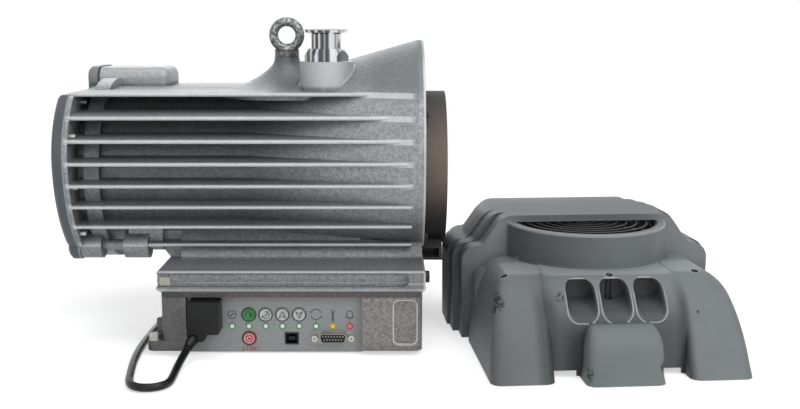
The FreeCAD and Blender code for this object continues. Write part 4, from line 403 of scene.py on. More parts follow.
# %% Finish of the lifting eye
COLLAR_LOW, COLLAR_HIGH = 0.2636, 0.2712
eye_finish = Finish("eye_forged", Metallic=0.7)
x, y, z = eye_finish.place()
scale = eye_finish.noise(420.0, 4.0, 0.65)
mark = eye_finish.noise(300.0, 1.0, 0.5).step(0.52, 0.60) * z.step(0.272, 0.274)
edges = band(z, 0.2632, 0.2642, 0.0003) + band(z, 0.2700, 0.2712, 0.0003)
skin = eye_finish.mix(scale.step(0.38, 0.62), tone("5a5c5f"), tone("a9abad"))
skin = layered(eye_finish, skin,
               (mark * 0.6, "3c3e41"), (band(z, COLLAR_LOW, COLLAR_HIGH, 0.0004) * 0.55, "5c5550"),
               (edges * 0.7, "232426"))
eye_finish.set("Base Color", skin)
eye_finish.set("Roughness", 0.5 - scale.step(0.4, 0.7) * 0.2)
eye_finish.bump(scale, 0.45, 0.0005)
finishes["forged_steel"] = eye_finish
print("eye finish has", len(eye_finish.tree.nodes), "nodes")

# %% Finish of the shroud ring
shroud_finish = Finish("shroud_brushed", Metallic=0.2)
x, y, z = shroud_finish.place()
brush = shroud_finish.noise(170.0, 3.0, 0.6, (0.8, 12.0, 12.0))
cloud = shroud_finish.noise(30.0)
middle_highlight = z.step(0.105, 0.160) * z.step(0.235, 0.175)
patches = (brush * 0.5 + cloud * 0.5).step(0.3, 0.7)
skin = shroud_finish.mix(patches, tone("161312"), tone("26211f"))
# Painted highlight: a paler band round the ring's middle height
skin = shroud_finish.mix(middle_highlight * (0.45 + brush * 0.5), skin, tone("7e6f66"))
shroud_finish.set("Base Color", skin)
shroud_finish.set("Roughness", 0.58 + (brush - 0.5) * 0.25)
shroud_finish.bump(brush, 0.15, 0.0002)
finishes["shroud_metal"] = shroud_finish
print("metals:", sorted(finishes))

# %% [markdown]
# ## The moulded cowl
# The cowl stands a little turned on the floor, so its marks are worked out in its own frame: u across,
# v towards its back, z up. Its grey plastic is cloudy and a little dusty. Painted shade makes it darker on
# top and at the end that faces the pump, and a painted shade line runs under every slat.

# %% The cowl's frame, colour and slats
COWL_AT, COWL_TURN = (0.2735, -0.055), math.radians(4.5)
SLAT_START, SLAT_HALF_PITCH = 0.009143, 0.0114285


def cowl_place(finish):
    """Across, back and up in the cowl's frame: the plan turned back by its angle on the floor."""
    x, y, z = finish.place()
    x, y = x - COWL_AT[0], y - COWL_AT[1]
    cos, sin = math.cos(COWL_TURN), math.sin(COWL_TURN)
    return x * cos + y * sin, y * cos - x * sin, z


cowl_finish = Finish("cowl_moulded")
u, v, z = cowl_place(cowl_finish)
cloud = cowl_finish.noise(9.0, 4.0).step(0.3, 0.72)
dust = cowl_finish.noise(90.0, 5.0, 0.7).step(0.60, 0.74)
slat_gap = (v + SLAT_START).math("PINGPONG", SLAT_HALF_PITCH)
slat_shade_line = slat_gap.step(0.0036, 0.0024) * v.step(-0.0060, -0.0040) * z.step(0.04, 0.06)
skin = cowl_finish.mix(cloud, tone("6a7073"), tone("7b8184"))
# Coats: pale dust; painted shade on top, on the flank that faces the pump and low on that side; painted
# shade under every slat
skin = layered(cowl_finish, skin,
               (dust * 0.2, "9aa0a2"), (z.step(0.1122, 0.1140) * 0.35, "454a4c"),
               (u.step(-0.085, -0.122) * 0.55, "363a3c"),
               (u.step(-0.030, -0.075) * z.step(0.085, 0.078) * 0.28, "454a4c"),
               (slat_shade_line * 0.55, "33383a"))
print("cowl stands at", COWL_AT)

# %% [markdown]
# ## Shade in the cowl's recess and vents
# Between its legs the cowl's front is set back, and three vents open in that sloping skirt. The
# depth behind the slope tells the pale rims of the vents from their shaded insides.

# %% Recess, creases and vents
VENT_Z, VENT_HALF_W, VENT_HALF_H, VENT_CORNER, VENT_PITCH = 0.061, 0.01325, 0.016, 0.0100, 0.030
SKIRT_TOP, SKIRT_FRONT, SKIRT_LEAN = 0.081, 0.125, 0.032
recess = band(u, -0.060, 0.060, 0.004) * z.step(0.074, 0.045)
recess = recess * v.step(-0.1295, -0.1265) * v.step(-0.06, -0.08)
crease = band(u, -0.071, -0.054, 0.005) + band(u, 0.053, 0.061, 0.004)
crease = crease * z.step(0.082, 0.055) * v.step(-0.05, -0.07)
beside = band(u, -0.046, -0.024, 0.007) * z.step(0.052, 0.030) * v.step(-0.134, -0.130)
across = abs(abs(abs(u) - VENT_PITCH / 2) - VENT_PITCH / 2)
vent = outline_distance(across, z - VENT_Z, VENT_HALF_W, VENT_HALF_H, VENT_CORNER)
lift = (z / SKIRT_TOP - 0.4).at_least(0.0) / 0.55
depth = v + SKIRT_FRONT - lift * lift * SKIRT_LEAN
near = band(depth, -0.0022, 0.0035, 0.0008) * band(u, -0.047, 0.047, 0.001) * z.step(0.043, 0.045)
inside = vent.step(0.0006, -0.0004) * depth.step(0.003, 0.012) * v.step(-0.07, -0.08)
# Painted shade in the recess, in the creases beside the legs, beside the bulge and inside the vents, darker
# high up inside them
skin = layered(cowl_finish, skin,
               (recess * 0.7, "34393b"), (crease * 0.75, "2c3032"), (beside * 0.7, "1f2224"),
               (inside * (0.35 + z.step(0.050, 0.066) * 0.5), "25282a"))
print("shaded zones use", len(cowl_finish.tree.nodes), "nodes")

# %% [markdown]
# ## Pale rims and black scuffs
# Edges of the moulding get a painted highlight: vents, screw holes, the lip of the collar, the shoulder and
# the first slat. Painted shade darkens the screw holes and the collar. Where the cowl has knocked against
# things it has dark scuffs, drawn as small ellipses broken up by a fine noise.

# %% Holes, lip, collar and first slat
HOLES = ((-0.092, -0.079), (0.080, -0.079), (0.0, -0.087))
# Painted highlights on the rims of vents and holes, on the lip and along the shoulder
rim_highlights = band(vent, -0.0003, 0.0007, 0.0004) * near
for at in HOLES:
    hole = separation((u, v), at)
    rim_highlights = rim_highlights + band(hole, 0.0037, 0.0044, 0.0003) * z.step(0.0745, 0.0755)
    # Painted shade inside each screw hole
    skin = cowl_finish.mix(hole.step(0.0040, 0.0034) * 0.85, skin, tone("1a1c1d"))
lip = separation((u, v), (0.0, 0.0))
rim_highlights = rim_highlights + band(lip, 0.0738, 0.0752, 0.0004) * band(z, 0.1095, 0.1120, 0.0006) * 0.7
shoulder_highlight = band(z, 0.0790, 0.0830, 0.0006) * lip.step(0.0745, 0.0760) * v.step(-0.03, -0.05)
rim_highlights = rim_highlights + shoulder_highlight * 0.4
collar_shade = band(lip, 0.0690, 0.0770, 0.0010) * z.step(0.078, 0.082) * z.step(0.1105, 0.1095)
wing_highlight = band(v, -0.0082, -0.0060, 0.0004) * z.step(0.066, 0.078)
# Painted shade on the collar, stronger on its left; painted light on the wings, stronger on the right;
# painted highlights on the rims
skin = layered(cowl_finish, skin,
               (collar_shade * (0.18 + u.step(0.02, -0.055) * 0.4), "3a3f41"),
               (wing_highlight * (0.15 + u.step(0.0, 0.08) * 0.2), "a4aaad"),
               ((rim_highlights * 0.75).at_most(1.0), "c3c8ca"))
print("holes rimmed:", len(HOLES))

# %% Scuffs, grain and gloss of the cowl
SCUFFS = (((-0.1025, -0.100, 0.0643), 0.010), ((-0.1005, -0.107, 0.0590), 0.009),
          ((-0.1055, -0.107, 0.0550), 0.006), ((-0.0490, -0.109, 0.0650), 0.008),
          ((-0.0165, -0.097, 0.0620), 0.005), ((-0.0320, -0.1475, 0.0090), 0.008),
          ((0.0300, -0.1490, 0.0150), 0.006), ((0.0705, -0.1165, 0.0520), 0.0025))
NARROW = 1.6
specks = cowl_finish.noise(360.0, 4.0, 0.75).step(0.46, 0.52)
for at, size in SCUFFS:
    spot = separation((u * NARROW - at[0] * (NARROW - 1.0), v, z), at)
    skin = cowl_finish.mix(spot.step(size, size * 0.4) * specks, skin, tone("17191a"))
pores = cowl_finish.noise(1300.0, 2.0)
cowl_finish.set("Base Color", skin)
cowl_finish.set("Roughness", 0.55 + (pores - 0.5) * 0.2)
cowl_finish.bump(pores, 0.25, 0.0003)
finishes["cowl_plastic"] = cowl_finish
print("cowl finish has", len(cowl_finish.tree.nodes), "nodes")

# %% [markdown]
# ## Small plastics, rubber and the panel
# The panel is a matt silver sheet, brushed along its length. Buttons and lamps are small and glossy, so a
# faint cloud in their colour and roughness is enough to keep them from looking drawn. The plug and the
# cord are nearly black and reflect less than the rest.

# %% Finish of the panel
panel_finish = Finish("panel_silver", Metallic=0.1)
grain = panel_finish.noise(240.0, 3.0, 0.6, (1.0, 1.0, 7.0))
panel_finish.set("Base Color", panel_finish.mix(grain.step(0.3, 0.7), tone("8d9191"), tone("9ca0a0")))
panel_finish.set("Roughness", 0.5 + (grain - 0.5) * 0.2)
panel_finish.bump(grain, 0.05, 0.0002)
finishes["panel_metal"] = panel_finish
print("panel finish has", len(panel_finish.tree.nodes), "nodes")

# %% Plastics and rubbers from one table
def moulded(name, code, roughness, grain, strength, spread):
    """Moulded plastic or rubber: cloudy colour, fine grain as bump and in the gloss."""
    finish = Finish(name)
    pores = finish.noise(grain, 2.0)
    finish.set("Base Color", wear(finish, tone(code), spread, 45.0))
    finish.set("Roughness", roughness + (pores - 0.5) * 0.2)
    finish.bump(pores, strength, 0.0003)
    return finish


MOULDED = {  # slot: material, tone, roughness, grain, strength of the grain, spread of the tone
    "black_plastic": ("plug_black", "0a0b0c", 0.34, 1500.0, 0.2, 0.10),
    "guard_wire": ("guard_coated", "17181a", 0.4, 900.0, 0.1, 0.10),
    "rubber": ("foot_rubber", "222222", 0.75, 700.0, 0.3, 0.10),
    "cord_rubber": ("cord_sheath", "0c0d0f", 0.3, 1200.0, 0.12, 0.10),
    "button_white": ("button_white", "c9cccb", 0.3, 900.0, 0.05, 0.04),
    "button_green": ("button_green", "2f8d46", 0.3, 900.0, 0.05, 0.06),
    "button_red": ("button_red", "cc3136", 0.3, 900.0, 0.05, 0.06),
    "lamp_green": ("lamp_clear", "eefaf0", 0.2, 900.0, 0.03, 0.03),
    "lamp_yellow": ("lamp_yellow", "f6dc5a", 0.2, 900.0, 0.03, 0.03),
    "lamp_red": ("lamp_red", "ff7a86", 0.2, 900.0, 0.03, 0.03),
    "circuit_board": ("board_green", "1f5a36", 0.45, 500.0, 0.1, 0.10)}
for slot, values in MOULDED.items():
    finishes[slot] = moulded(*values)
for slot in ("black_plastic", "cord_rubber"):
    finishes[slot].set("Specular IOR Level", 0.3)
print("finishes:", len(finishes))

# %% [markdown]
# ## Dress the solids
# Each solid of the frame names the slot that its finish comes from, so one loop dresses them all. A few
# small pieces look different from the rest of their material, because they lie in shade or are plated.

# %% Give every solid its finish
socket_finish = Finish("socket_shaded", Metallic=0.4, Roughness=0.5)
y = socket_finish.place()[1]
worn = wear(socket_finish, tone("303134"), 0.2, 300.0)
socket_finish.set("Base Color", socket_finish.mix(y.step(-0.1184, -0.1178), worn, tone("0c0c0d")))
special = {"usb_socket": socket_finish, "fan_ring_screws": finishes["shroud_metal"],
           "remote_shell": turned_metal("shell_nickel", tone("8f8d89"), 0.4, (2.0, 2.0, 2.0), 0.8)}
for part in frame["record"]["subparts"]:
    solid = frame["nodes"][part["node"]]
    solid.data.materials.clear()
    solid.data.materials.append(special.get(part["node"], finishes[part["material_slot"]]).material)
print("dressed", len(frame["nodes"]), "solids")

# %% [markdown]
# ## Meshes from arrays
# The new pieces are small: printed marks, thin caps and contacts. Each is an array of points and an array
# of faces, worked out at once with numpy. A round piece is a profile carried round an axis: its grid of
# points wraps both ways, so no seam stays open.

# %% Arrays to pieces
def put_mesh(name, points, faces, finish, body, smooth=True):
    """A mesh object at the origin from an array of points and an array of faces, riding a body."""
    mesh = bpy.data.meshes.new(name)
    mesh.from_pydata(points.tolist(), [], faces.tolist())
    mesh.materials.append(finish.material)
    mesh.polygons.foreach_set("use_smooth", np.full(len(mesh.polygons), smooth))
    mesh.update()
    piece = bpy.data.objects.new(name, mesh)
    bpy.context.scene.collection.objects.link(piece)
    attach(piece, body)


def ring_faces(rows, columns):
    """Corner numbers of every cell of a grid that wraps both ways, stored row after row."""
    i, j = np.meshgrid(np.arange(rows), np.arange(columns), indexing="ij")
    next_i, next_j = (i + 1) % rows, (j + 1) % columns
    corners = [i * columns + j, i * columns + next_j, next_i * columns + next_j, next_i * columns + j]
    return np.stack([c.ravel() for c in corners], axis=1)


def turned(profile, centre, axis, sides):
    """Closed ring surface: each (radius, height) of the profile is carried round the axis."""
    profile = np.asarray(profile, float)
    angle = np.linspace(0.0, 2 * np.pi, sides, endpoint=False)
    axis = np.asarray(axis, float)
    side = np.cross(axis, [0.0, 0.0, 1.0])
    other = np.cross(axis, side)
    round_ = np.cos(angle)[None, :, None] * side + np.sin(angle)[None, :, None] * other
    points = np.asarray(centre) + profile[:, None, None, 0] * round_ + profile[:, None, None, 1] * axis
    return points.reshape(-1, 3), ring_faces(len(profile), sides)


print("mesh helpers ready")

# %% [markdown]
# ## The mains lead
# One flexible black lead leaves the angled plug, turns once on the floor in front of the pump, runs along
# its motor end and is wound up behind it, with a wall plug on its far end. It is a single smooth curve
# of round section. The turns of the coil rise on the outside, come down on the inside and leave below.

# %% Ends of the route, in millimetres
LIES = 3.5      # height of the lead's middle where it lies on the floor: half its thickness
in_view = np.array([
    (-89.0, -137.0, 17.0), (-93.0, -149.0, 10.5), (-95.0, -168.0, 6.5), (-95.0, -191.0, 4.3),
    (-95.0, -211.0, LIES), (-104.9, -220.9, LIES), (-118.9, -220.9, LIES), (-128.5, -211.0, LIES),
    (-133.0, -186.0, LIES), (-138.5, -150.0, LIES), (-141.5, -106.0, LIES), (-140.5, -60.0, LIES),
    (-139.0, -12.0, LIES), (-141.0, 40.0, LIES), (-142.0, 90.0, LIES), (-135.0, 128.0, LIES),
    (-113.0, 152.0, 5.5), (-84.0, 158.5, 8.5)])
to_plug = np.array([(-9.0, 224.0, LIES), (4.0, 247.0, 5.0), (30.0, 254.0, 8.5), (53.0, 241.0, 12.5),
                    (62.0, 214.0, 13.2)])
print("points before the coil", len(in_view), "and after it", len(to_plug))

# %% Coil between them, and the length of it all
COIL_X, COIL_Y, COIL_STARTS, COIL_ENDS = -52.0, 200.0, -0.25, 5.0
turn = np.arange(COIL_STARTS, COIL_ENDS + 0.01, 1.0 / 16.0)
radius = np.interp(turn, [COIL_STARTS, 1.30, 1.55, 3.95, 4.18, COIL_ENDS],
                   [42.0, 42.0, 35.0, 35.0, 42.0, 42.0])
height = np.interp(turn, [COIL_STARTS, 0.45, 0.72, 2.05, 2.30, 3.05, 3.27, COIL_ENDS],
                   [10.5, 10.5, 17.5, 17.5, 10.5, 10.5, LIES, LIES])
spare = np.stack([COIL_X + radius * np.cos(2 * np.pi * turn),
                  COIL_Y + radius * np.sin(2 * np.pi * turn), height], axis=1)
route = np.concatenate([in_view, spare, to_plug]) / 1000.0


# %% [markdown]
# ## The lead as one curve
# A mesh tube would kink at each ring of points. A curve with a round bevel stays smooth however it
# bends, and its end caps close it, so it can lie along the route as it is.

# %% The lead itself
lead_curve = bpy.data.curves.new("mains_cord", "CURVE")
lead_curve.dimensions = "3D"
spline = lead_curve.splines.new("NURBS")
spline.points.add(len(route) - 1)
spline.points.foreach_set("co", np.column_stack([route, np.ones(len(route))]).ravel())
spline.order_u = 3
spline.use_endpoint_u = True
spline.resolution_u = 8
lead_curve.bevel_depth = LIES / 1000.0
lead_curve.bevel_resolution = 5
lead_curve.use_fill_caps = True
lead_curve.materials.append(finishes["cord_rubber"].material)
lead = bpy.data.objects.new("mains_cord", lead_curve)
bpy.context.scene.collection.objects.link(lead)
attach(lead, "pump")
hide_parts("mains_lead", "mains_lead_coil", "mains_lead_tail")

# %% [markdown]
# ## Printed marks on the panel
# The panel's marks are flat ink: coloured rings round the lamps, dark lines that join a lamp to its
# button or sign, the signs and a red word under the stop button. Each is a flat ribbon that stands
# 0.06 mm proud of the metal, so it needs no picture and stays sharp from close by.

# %% Inks
INKS = {"dark": ("23302a", 0.5, 0.05), "green": ("1e7a3c", 0.45, 0.05), "red": ("b3303a", 0.45, 0.05),
        "amber": ("b98a2a", 0.45, 0.05), "white": ("d9dcda", 0.4, 0.03)}
inks = {name: moulded("ink_" + name, code, roughness, 900.0, 0.02, spread)
        for name, (code, roughness, spread) in INKS.items()}
print("inks:", sorted(inks))

# %% Ribbons along paths
def ribbons(paths, width, front):
    """Flat bands along paths in the panel's plane: each side lies half a width along the normal."""
    points, faces, start = [], [], 0
    for path, closed in paths:
        path = np.asarray(path, float)
        ahead = np.roll(path, -1, axis=0) - path if closed else np.gradient(path, axis=0)
        back = path - np.roll(path, 1, axis=0) if closed else ahead
        along = ahead / np.linalg.norm(ahead, axis=1)[:, None] + back / np.linalg.norm(back, axis=1)[:, None]
        along = along / np.linalg.norm(along, axis=1)[:, None]
        normal = np.column_stack([along[:, 1], -along[:, 0]])
        for side in (-0.5, 0.5):
            edge = path + normal * side * width
            points.append(np.column_stack([edge[:, 0], np.full(len(edge), front), edge[:, 1]]))
        count = len(path)
        i = np.arange(count if closed else count - 1)
        j = (i + 1) % count
        faces.append(np.column_stack([start + i, start + j, start + count + j, start + count + i]))
        start += 2 * count
    return np.concatenate(points), np.concatenate(faces)


def circle(x, z, radius, first=0.0, last=360.0):
    """Points round a circle in the panel's plane between two angles, in degrees."""
    count = max(8, int(abs(last - first) / 9.0))
    angle = np.radians(np.linspace(first, last, count, endpoint=abs(last - first) < 360.0))
    return np.column_stack([x + radius * np.cos(angle), z + radius * np.sin(angle)])


def placed(strokes, x, z):
    """Strokes drawn round a middle of their own, carried to a place on the panel."""
    return [(np.asarray(path, float) + (x, z), closed) for path, closed in strokes]


print("mark makers ready")

# %% Rings and stems of the lamps
PANEL_FACE, MARK = -0.118, 0.00006
LAMP_Z, ROW_Z, STOP_Z, LAMP_R, BUTTON_R = 0.0251, 0.0359, 0.0137, 0.0020, 0.0066
FIRST_LAMP_X, LAMP_PITCH = -0.0557, 0.01526
RING_W, STEM_W, FIGURE_W, RIM_W, WORD_W = 0.0010, 0.0005, 0.0007, 0.0011, 0.0006
lamp_x = FIRST_LAMP_X + LAMP_PITCH * np.arange(8)
front = PANEL_FACE - MARK
for name, places, ink in (("lamp_rings", lamp_x[:6], "green"), ("lamp_ring_yellow", lamp_x[6:7], "amber"),
                          ("lamp_ring_red", lamp_x[7:], "red")):
    points, faces = ribbons([(circle(x, LAMP_Z, LAMP_R + RING_W / 2), True) for x in places], RING_W, front)
    put_mesh(name, points, faces, inks[ink], "pump")
stem_foot = LAMP_Z + 0.0028
stems = [([(x, stem_foot), (x, LAMP_Z + 0.0032), (x, ROW_Z - BUTTON_R - 0.0011)], False)
         for x in lamp_x[1:5]]
stems += [([(x, stem_foot), (x, LAMP_Z + 0.0040), (x, LAMP_Z + 0.0052)], False)
          for x in (lamp_x[0], *lamp_x[5:])]
points, faces = ribbons(stems, STEM_W, front)
put_mesh("lamp_lines", points, faces, inks["dark"], "pump")
print("lamps marked:", len(lamp_x))

# %% [markdown]
# ## Caps and figures of the buttons
# Each button carries a thin domed cap, a dark rim and a figure: diamond, moon, arrow heads and a power
# mark. They ride the button's own body, so they go in with it when it is pressed. The figures are
# drawn round their own middle, in metres, and then carried to their button.

# %% Makers of caps and figures
def loop(corners):
    """A closed figure with each side cut in four, so ribbons keep their width round it."""
    corners = np.asarray(corners, float)
    following = np.roll(corners, -1, axis=0)
    share = np.linspace(0.0, 1.0, 4, endpoint=False)[None, :, None]
    return (corners[:, None, :] + (following - corners)[:, None, :] * share).reshape(-1, 2)


def arrow_head(tip):
    """Arrow head with a notched foot; tip is +1 for up and -1 for down."""
    point, notch, foot = tip * 0.0036, -tip * 0.0012, -tip * 0.0030
    return loop([(0.0, point), (0.0032, foot), (0.0, notch), (-0.0032, foot)])


def disc(name, x, z, radius, front, finish, body):
    """A thin round plate facing the reader: a turned lens-like profile closed at its rim."""
    profile = [(0.00001, 0.00012), (radius * 0.9, 0.00010), (radius, 0.0), (radius * 0.9, -0.00002),
               (0.00001, -0.00002)]
    points, faces = turned(profile, (x, front, z), (0, -1, 0), 48)
    put_mesh(name, points, faces[:, ::-1], finish, body)


print("cap makers ready")

# %% Caps, figures and rims
BUTTON_PROUD, FIGURE_LIFT, RIM_LIFT = 0.0010, 0.00016, 0.00014
face_y = PANEL_FACE - BUTTON_PROUD
buttons = {"start_button": (lamp_x[1], ROW_Z), "standby_button": (lamp_x[2], ROW_Z),
           "speed_up_button": (lamp_x[3], ROW_Z), "speed_down_button": (lamp_x[4], ROW_Z),
           "stop_button": (lamp_x[1], STOP_Z)}
caps = {"start_button": "button_green", "stop_button": "button_red"}
figures = {
    "start_button": ([(loop([(-0.0038, 0.0), (0.0, -0.0038), (0.0038, 0.0), (0.0, 0.0038)]), True)], "dark"),
    "standby_button": ([(circle(0.0, 0.0, 0.0034, 80, -170), False),
                        (circle(-0.0014, 0.0014, 0.0028, 44, -134), False)], "dark"),
    "speed_up_button": ([(arrow_head(1), True)], "dark"),
    "speed_down_button": ([(arrow_head(-1), True)], "dark"),
    "stop_button": ([(circle(0.0, 0.0, 0.0042), True), (circle(0.0, 0.0, 0.0020, 120, 420), False),
                     ([(0.0, 0.0004), (0.0, 0.0016), (0.0, 0.0027)], False)], "white")}
for name, (strokes, ink) in figures.items():
    x, z = buttons[name]
    cap = finishes[caps.get(name, "button_white")]
    disc(name + "_cap", x, z, BUTTON_R - 0.0003, face_y, cap, name + "_body")
    points, faces = ribbons(placed(strokes, x, z), FIGURE_W, face_y - FIGURE_LIFT)
    put_mesh(name + "_figure", points, faces, inks[ink], name + "_body")
    points, faces = ribbons([(circle(x, z, BUTTON_R - 0.0007), True)], RIM_W, face_y - RIM_LIFT)
    put_mesh(name + "_rim", points, faces, inks["dark"], name + "_body")
print("buttons marked:", len(figures))

# %% [markdown]
# ## Signs above the other lamps
# Four lamps have a printed sign instead of a button: a wave in a circle for power, a broken circle with
# two arrow ends, a spanner and a bell. A few strokes each are enough at their size.

# %% Four signs
wave = np.linspace(-1.0, 1.0, 17)
power = [(circle(0.0, 0.0, 0.0038), True),
         (np.column_stack([wave * 0.0024, 0.0014 * np.sin(np.pi * wave)]), False)]
cycle = [(circle(0.0, 0.0002, 0.0048, 20, 160), False), (circle(0.0, 0.0002, 0.0048, 200, 340), False),
         ([(-0.0062, 0.0030), (-0.0045, 0.0019), (-0.0034, 0.0036)], False),
         ([(0.0062, -0.0026), (0.0045, -0.0015), (0.0034, -0.0032)], False)]
tool = [(circle(0.0, 0.0034, 0.0014, 125, 415), False),
        ([(-0.0005, 0.0020), (-0.0005, -0.0015), (-0.0005, -0.0042)], False),
        ([(0.0005, 0.0020), (0.0005, -0.0015), (0.0005, -0.0042)], False),
        (circle(0.0, -0.0052, 0.0011), True)]
bell = [(np.concatenate([[(-0.0036, -0.0026), (-0.0026, -0.0012)], circle(0.0, 0.0012, 0.0024, 180, 0),
                         [(0.0026, -0.0012), (0.0036, -0.0026)]]), False),
        ([(-0.0036, -0.0027), (0.0, -0.0027), (0.0036, -0.0027)], False),
        (circle(0.0, -0.0033, 0.0011, 180, 360), False)]
signs = []
for x, strokes in zip((lamp_x[0], *lamp_x[5:]), (power, cycle, tool, bell)):
    signs += placed(strokes, x, ROW_Z)
points, faces = ribbons(signs, FIGURE_W, front)
put_mesh("lamp_signs", points, faces, inks["dark"], "pump")
print("strokes in the signs:", len(signs))

# %% [markdown]
# ## Contacts of the remote connector
# The connector has fifteen contacts in two rows, eight over seven, half a pitch apart. Each is a short
# closed ring of twelve sides, and all of them are one mesh.

# %% Fifteen contacts
REMOTE_X, CONTACT_PITCH, CONTACT_R, CONTACT_FRONT = 0.036, 0.00262, 0.00055, -0.1226
contact_at = [(REMOTE_X + CONTACT_PITCH * (k - 3.5), 0.0163) for k in range(8)]
contact_at += [(REMOTE_X + CONTACT_PITCH * (k - 3.0), 0.0133) for k in range(7)]
contact_profile = [(0.00001, 0.0003), (CONTACT_R, 0.0003), (CONTACT_R, 0.0), (0.00001, 0.0)]
points, faces, count = [], [], 0
for x, z in contact_at:
    ring, cells = turned(contact_profile, (x, CONTACT_FRONT, z), (0, -1, 0), 12)
    points.append(ring)
    faces.append(cells[:, ::-1] + count)
    count += len(ring)
put_mesh("remote_contacts", np.concatenate(points), np.concatenate(faces), finishes["zinc_steel"], "pump")
print("contacts", len(contact_at))

# %% [markdown]
# ## Lower edge, label and word
# The silver panel reaches a little lower than the base, which stands on rubber feet: a thin sill closes
# that gap. A small blank label sits on the casting's ledge. The word under the stop button is four
# letters of ribbon, drawn like the signs.

# %% Sill and label
def slab(name, low, high, finish):
    """A thin block between two corners: eight points and six faces that look outwards."""
    pick = np.indices((2, 2, 2)).reshape(3, 8).T[:, ::-1]
    faces = np.array([(0, 2, 3, 1), (4, 5, 7, 6), (0, 1, 5, 4), (2, 6, 7, 3), (0, 4, 6, 2), (1, 3, 7, 5)])
    put_mesh(name, np.where(pick, high, low), faces, finish, "pump", smooth=False)


label_finish = moulded("label_blank", "c9c8bd", 0.6, 1500.0, 0.2, 0.10)
slab("panel_sill", (-0.0958, PANEL_FACE, 0.0009), (0.0628, PANEL_FACE + 0.0012, 0.0050), panel_finish)
slab("ledge_label", (-0.1207, -0.1167, 0.0626), (-0.1110, -0.1164, 0.0704), label_finish)
print("sill and label placed")

# %% The word under the stop button
WORD_Z, TALL, WIDE, LETTER_PITCH = 0.0037, 0.0034, 0.0022, 0.0036
top, left, bowl = TALL / 2, -WIDE / 2, TALL / 4
letters = (
    [(np.concatenate([circle(0.0, bowl, bowl, 30, 270), circle(0.0, -bowl, bowl, 90, -150)]), False)],
    [(np.linspace((left, top), (-left, top), 3), False), (np.linspace((0.0, top), (0.0, -top), 3), False)],
    [(circle(0.0, 0.0, top) * (0.8, 1.0), True)],
    [(np.linspace((left, -top), (left, top), 3), False),
     (np.concatenate([[(left, top)], circle(0.0, bowl, bowl, 90, -90), [(left, 0.0)]]), False)])
word = []
for k, strokes in enumerate(letters):
    word += placed(strokes, lamp_x[1] + (k - 1.5) * LETTER_PITCH, WORD_Z)
points, faces = ribbons(word, WORD_W, front)
put_mesh("stop_word", points, faces, inks["red"], "pump")
print("word drawn with", len(word), "strokes")

# %% [markdown]
# ## Floor, light and camera
# A white studio. The floor is a pale sheet with a glow that only the camera, mirrors and glass can see:
# lit floor then comes out white, and the soft shadow under the object stays. Far away the sheet fades
# into the white sky, so no horizon shows.

# %% Studio floor
FLOOR_GLOW, FLOOR_Z, FADE_ROUND, FADE_FROM, FADE_TO = 0.55, -0.0006, (0.08, 0.0), 0.45, 1.5
WHITE = (1.0, 1.0, 1.0)
floor_finish = Finish("studio_floor", Roughness=0.9)
floor_finish.set("Base Color", floor_finish.mix(floor_finish.noise(3.0), tone("f4f4f4"), tone("f7f7f7")))
ray = floor_finish.node("LightPath", {}, {})
direct = Signal(floor_finish, ray.outputs["Is Camera Ray"]).at_least(ray.outputs["Is Glossy Ray"])
direct = direct.at_least(ray.outputs["Is Transmission Ray"])
lit = floor_finish.shader.outputs[0]
glow = floor_finish.node("Emission", {}, {"Color": WHITE, "Strength": FLOOR_GLOW})
both = floor_finish.node("AddShader", {}, {0: lit, 1: glow.outputs[0]})
blend = floor_finish.node("MixShader", {}, {0: direct, 1: lit, 2: both.outputs[0]})
x, y, z = floor_finish.place()
far = separation((x, y), FADE_ROUND).step(FADE_FROM, FADE_TO) * direct
white = floor_finish.node("Emission", {}, {"Color": WHITE, "Strength": 1.0})
fade = floor_finish.node("MixShader", {}, {0: far, 1: blend.outputs[0], 2: white.outputs[0]})
floor_finish.plug(floor_finish.output.inputs[0], fade.outputs[0])
corners = [(-6.0, -4.0, FLOOR_Z), (6.0, -4.0, FLOOR_Z), (6.0, 8.0, FLOOR_Z), (-6.0, 8.0, FLOOR_Z)]
floor_mesh = bpy.data.meshes.new("studio_floor")
floor_mesh.from_pydata(corners, [], [(0, 1, 2, 3)])
floor_mesh.materials.append(floor_finish.material)
floor = bpy.data.objects.new("studio_floor", floor_mesh)
bpy.context.scene.collection.objects.link(floor)
print("floor laid at z", FLOOR_Z)

# %% [markdown]
# ## Sky and lamps
# The sky is white where it is seen or mirrored, and much weaker as a light, so the shadows keep their
# depth. Four large lamps do the rest: a key from the right, a broad one in front, one above and one behind.

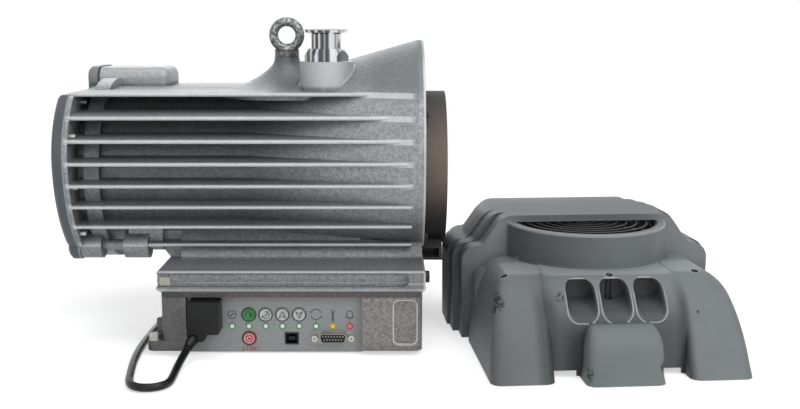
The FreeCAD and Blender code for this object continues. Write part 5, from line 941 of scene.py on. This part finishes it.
# %% Sky
SKY_LIGHT, SKY_SEEN = 0.21, 1.0
world = bpy.data.worlds.new("studio_sky")
bpy.context.scene.world = world
world.use_nodes = True
sky = world.node_tree
sky.nodes.clear()
path = sky.nodes.new("ShaderNodeLightPath")
seen = path.outputs["Is Camera Ray"]
for other in ("Is Transmission Ray", "Is Glossy Ray"):
    larger = sky.nodes.new("ShaderNodeMath")
    larger.operation = "MAXIMUM"
    sky.links.new(seen, larger.inputs[0])
    sky.links.new(path.outputs[other], larger.inputs[1])
    seen = larger.outputs[0]
strength = sky.nodes.new("ShaderNodeMapRange")
strength.inputs["To Min"].default_value = SKY_LIGHT
strength.inputs["To Max"].default_value = SKY_SEEN
sky.links.new(seen, strength.inputs["Value"])
background = sky.nodes.new("ShaderNodeBackground")
background.inputs["Color"].default_value = (*WHITE, 1.0)
sky.links.new(strength.outputs["Result"], background.inputs["Strength"])
sky_output = sky.nodes.new("ShaderNodeOutputWorld")
sky.links.new(background.outputs[0], sky_output.inputs[0])
print("sky ready")

# %% Lamps
def lamp(name, place, target, size, power):
    """A square lamp at a place, turned towards a target."""
    light = bpy.data.lights.new(name, "AREA")
    light.size = size
    light.energy = power
    holder = bpy.data.objects.new(name, light)
    bpy.context.scene.collection.objects.link(holder)
    holder.location = place
    aim = np.asarray(target, float) - np.asarray(place, float)
    flat = math.hypot(aim[0], aim[1])
    holder.rotation_euler = (math.atan2(flat, -aim[2]), 0.0, math.atan2(-aim[0], aim[1]))


lamp("key_lamp", (1.1, -1.3, 1.3), (0.1, 0.0, 0.12), 0.9, 11.5)
lamp("front_lamp", (-0.3, -2.3, 1.1), (0.05, 0.0, 0.15), 1.6, 9.0)
lamp("top_lamp", (0.15, -0.1, 1.7), (0.08, 0.0, 0.2), 1.1, 9.0)
lamp("back_lamp", (-0.6, 2.2, 1.2), (0.05, 0.0, 0.12), 1.4, 11.0)
print("lamps:", len(bpy.data.lights))

# %% [markdown]
# ## The camera
# Its place, tilt and focal length were fitted once to the picture, in pixels, and the same numbers
# served for the CAD. The lens follows from the focal length and the picture's width, and the small
# shift puts the middle of the view where it was.

# %% Camera at the photograph's angle
SENSOR_W, PICTURE_W, FOCAL, SHIFT = 36.0, 800.0, 1050.0, 12.0
camera_data = bpy.data.cameras.new("camera")
camera_data.sensor_width = SENSOR_W
camera_data.lens = FOCAL / PICTURE_W * SENSOR_W
camera_data.shift_x = SHIFT / PICTURE_W
camera = bpy.data.objects.new("camera", camera_data)
bpy.context.scene.collection.objects.link(camera)
camera.location = (0.086, -1.040, 0.300)
camera.rotation_euler = (math.radians(80.0), 0.0, 0.0)
bpy.context.scene.camera = camera
bpy.context.scene.view_settings.view_transform = "Standard"
print("camera", tuple(camera.location))
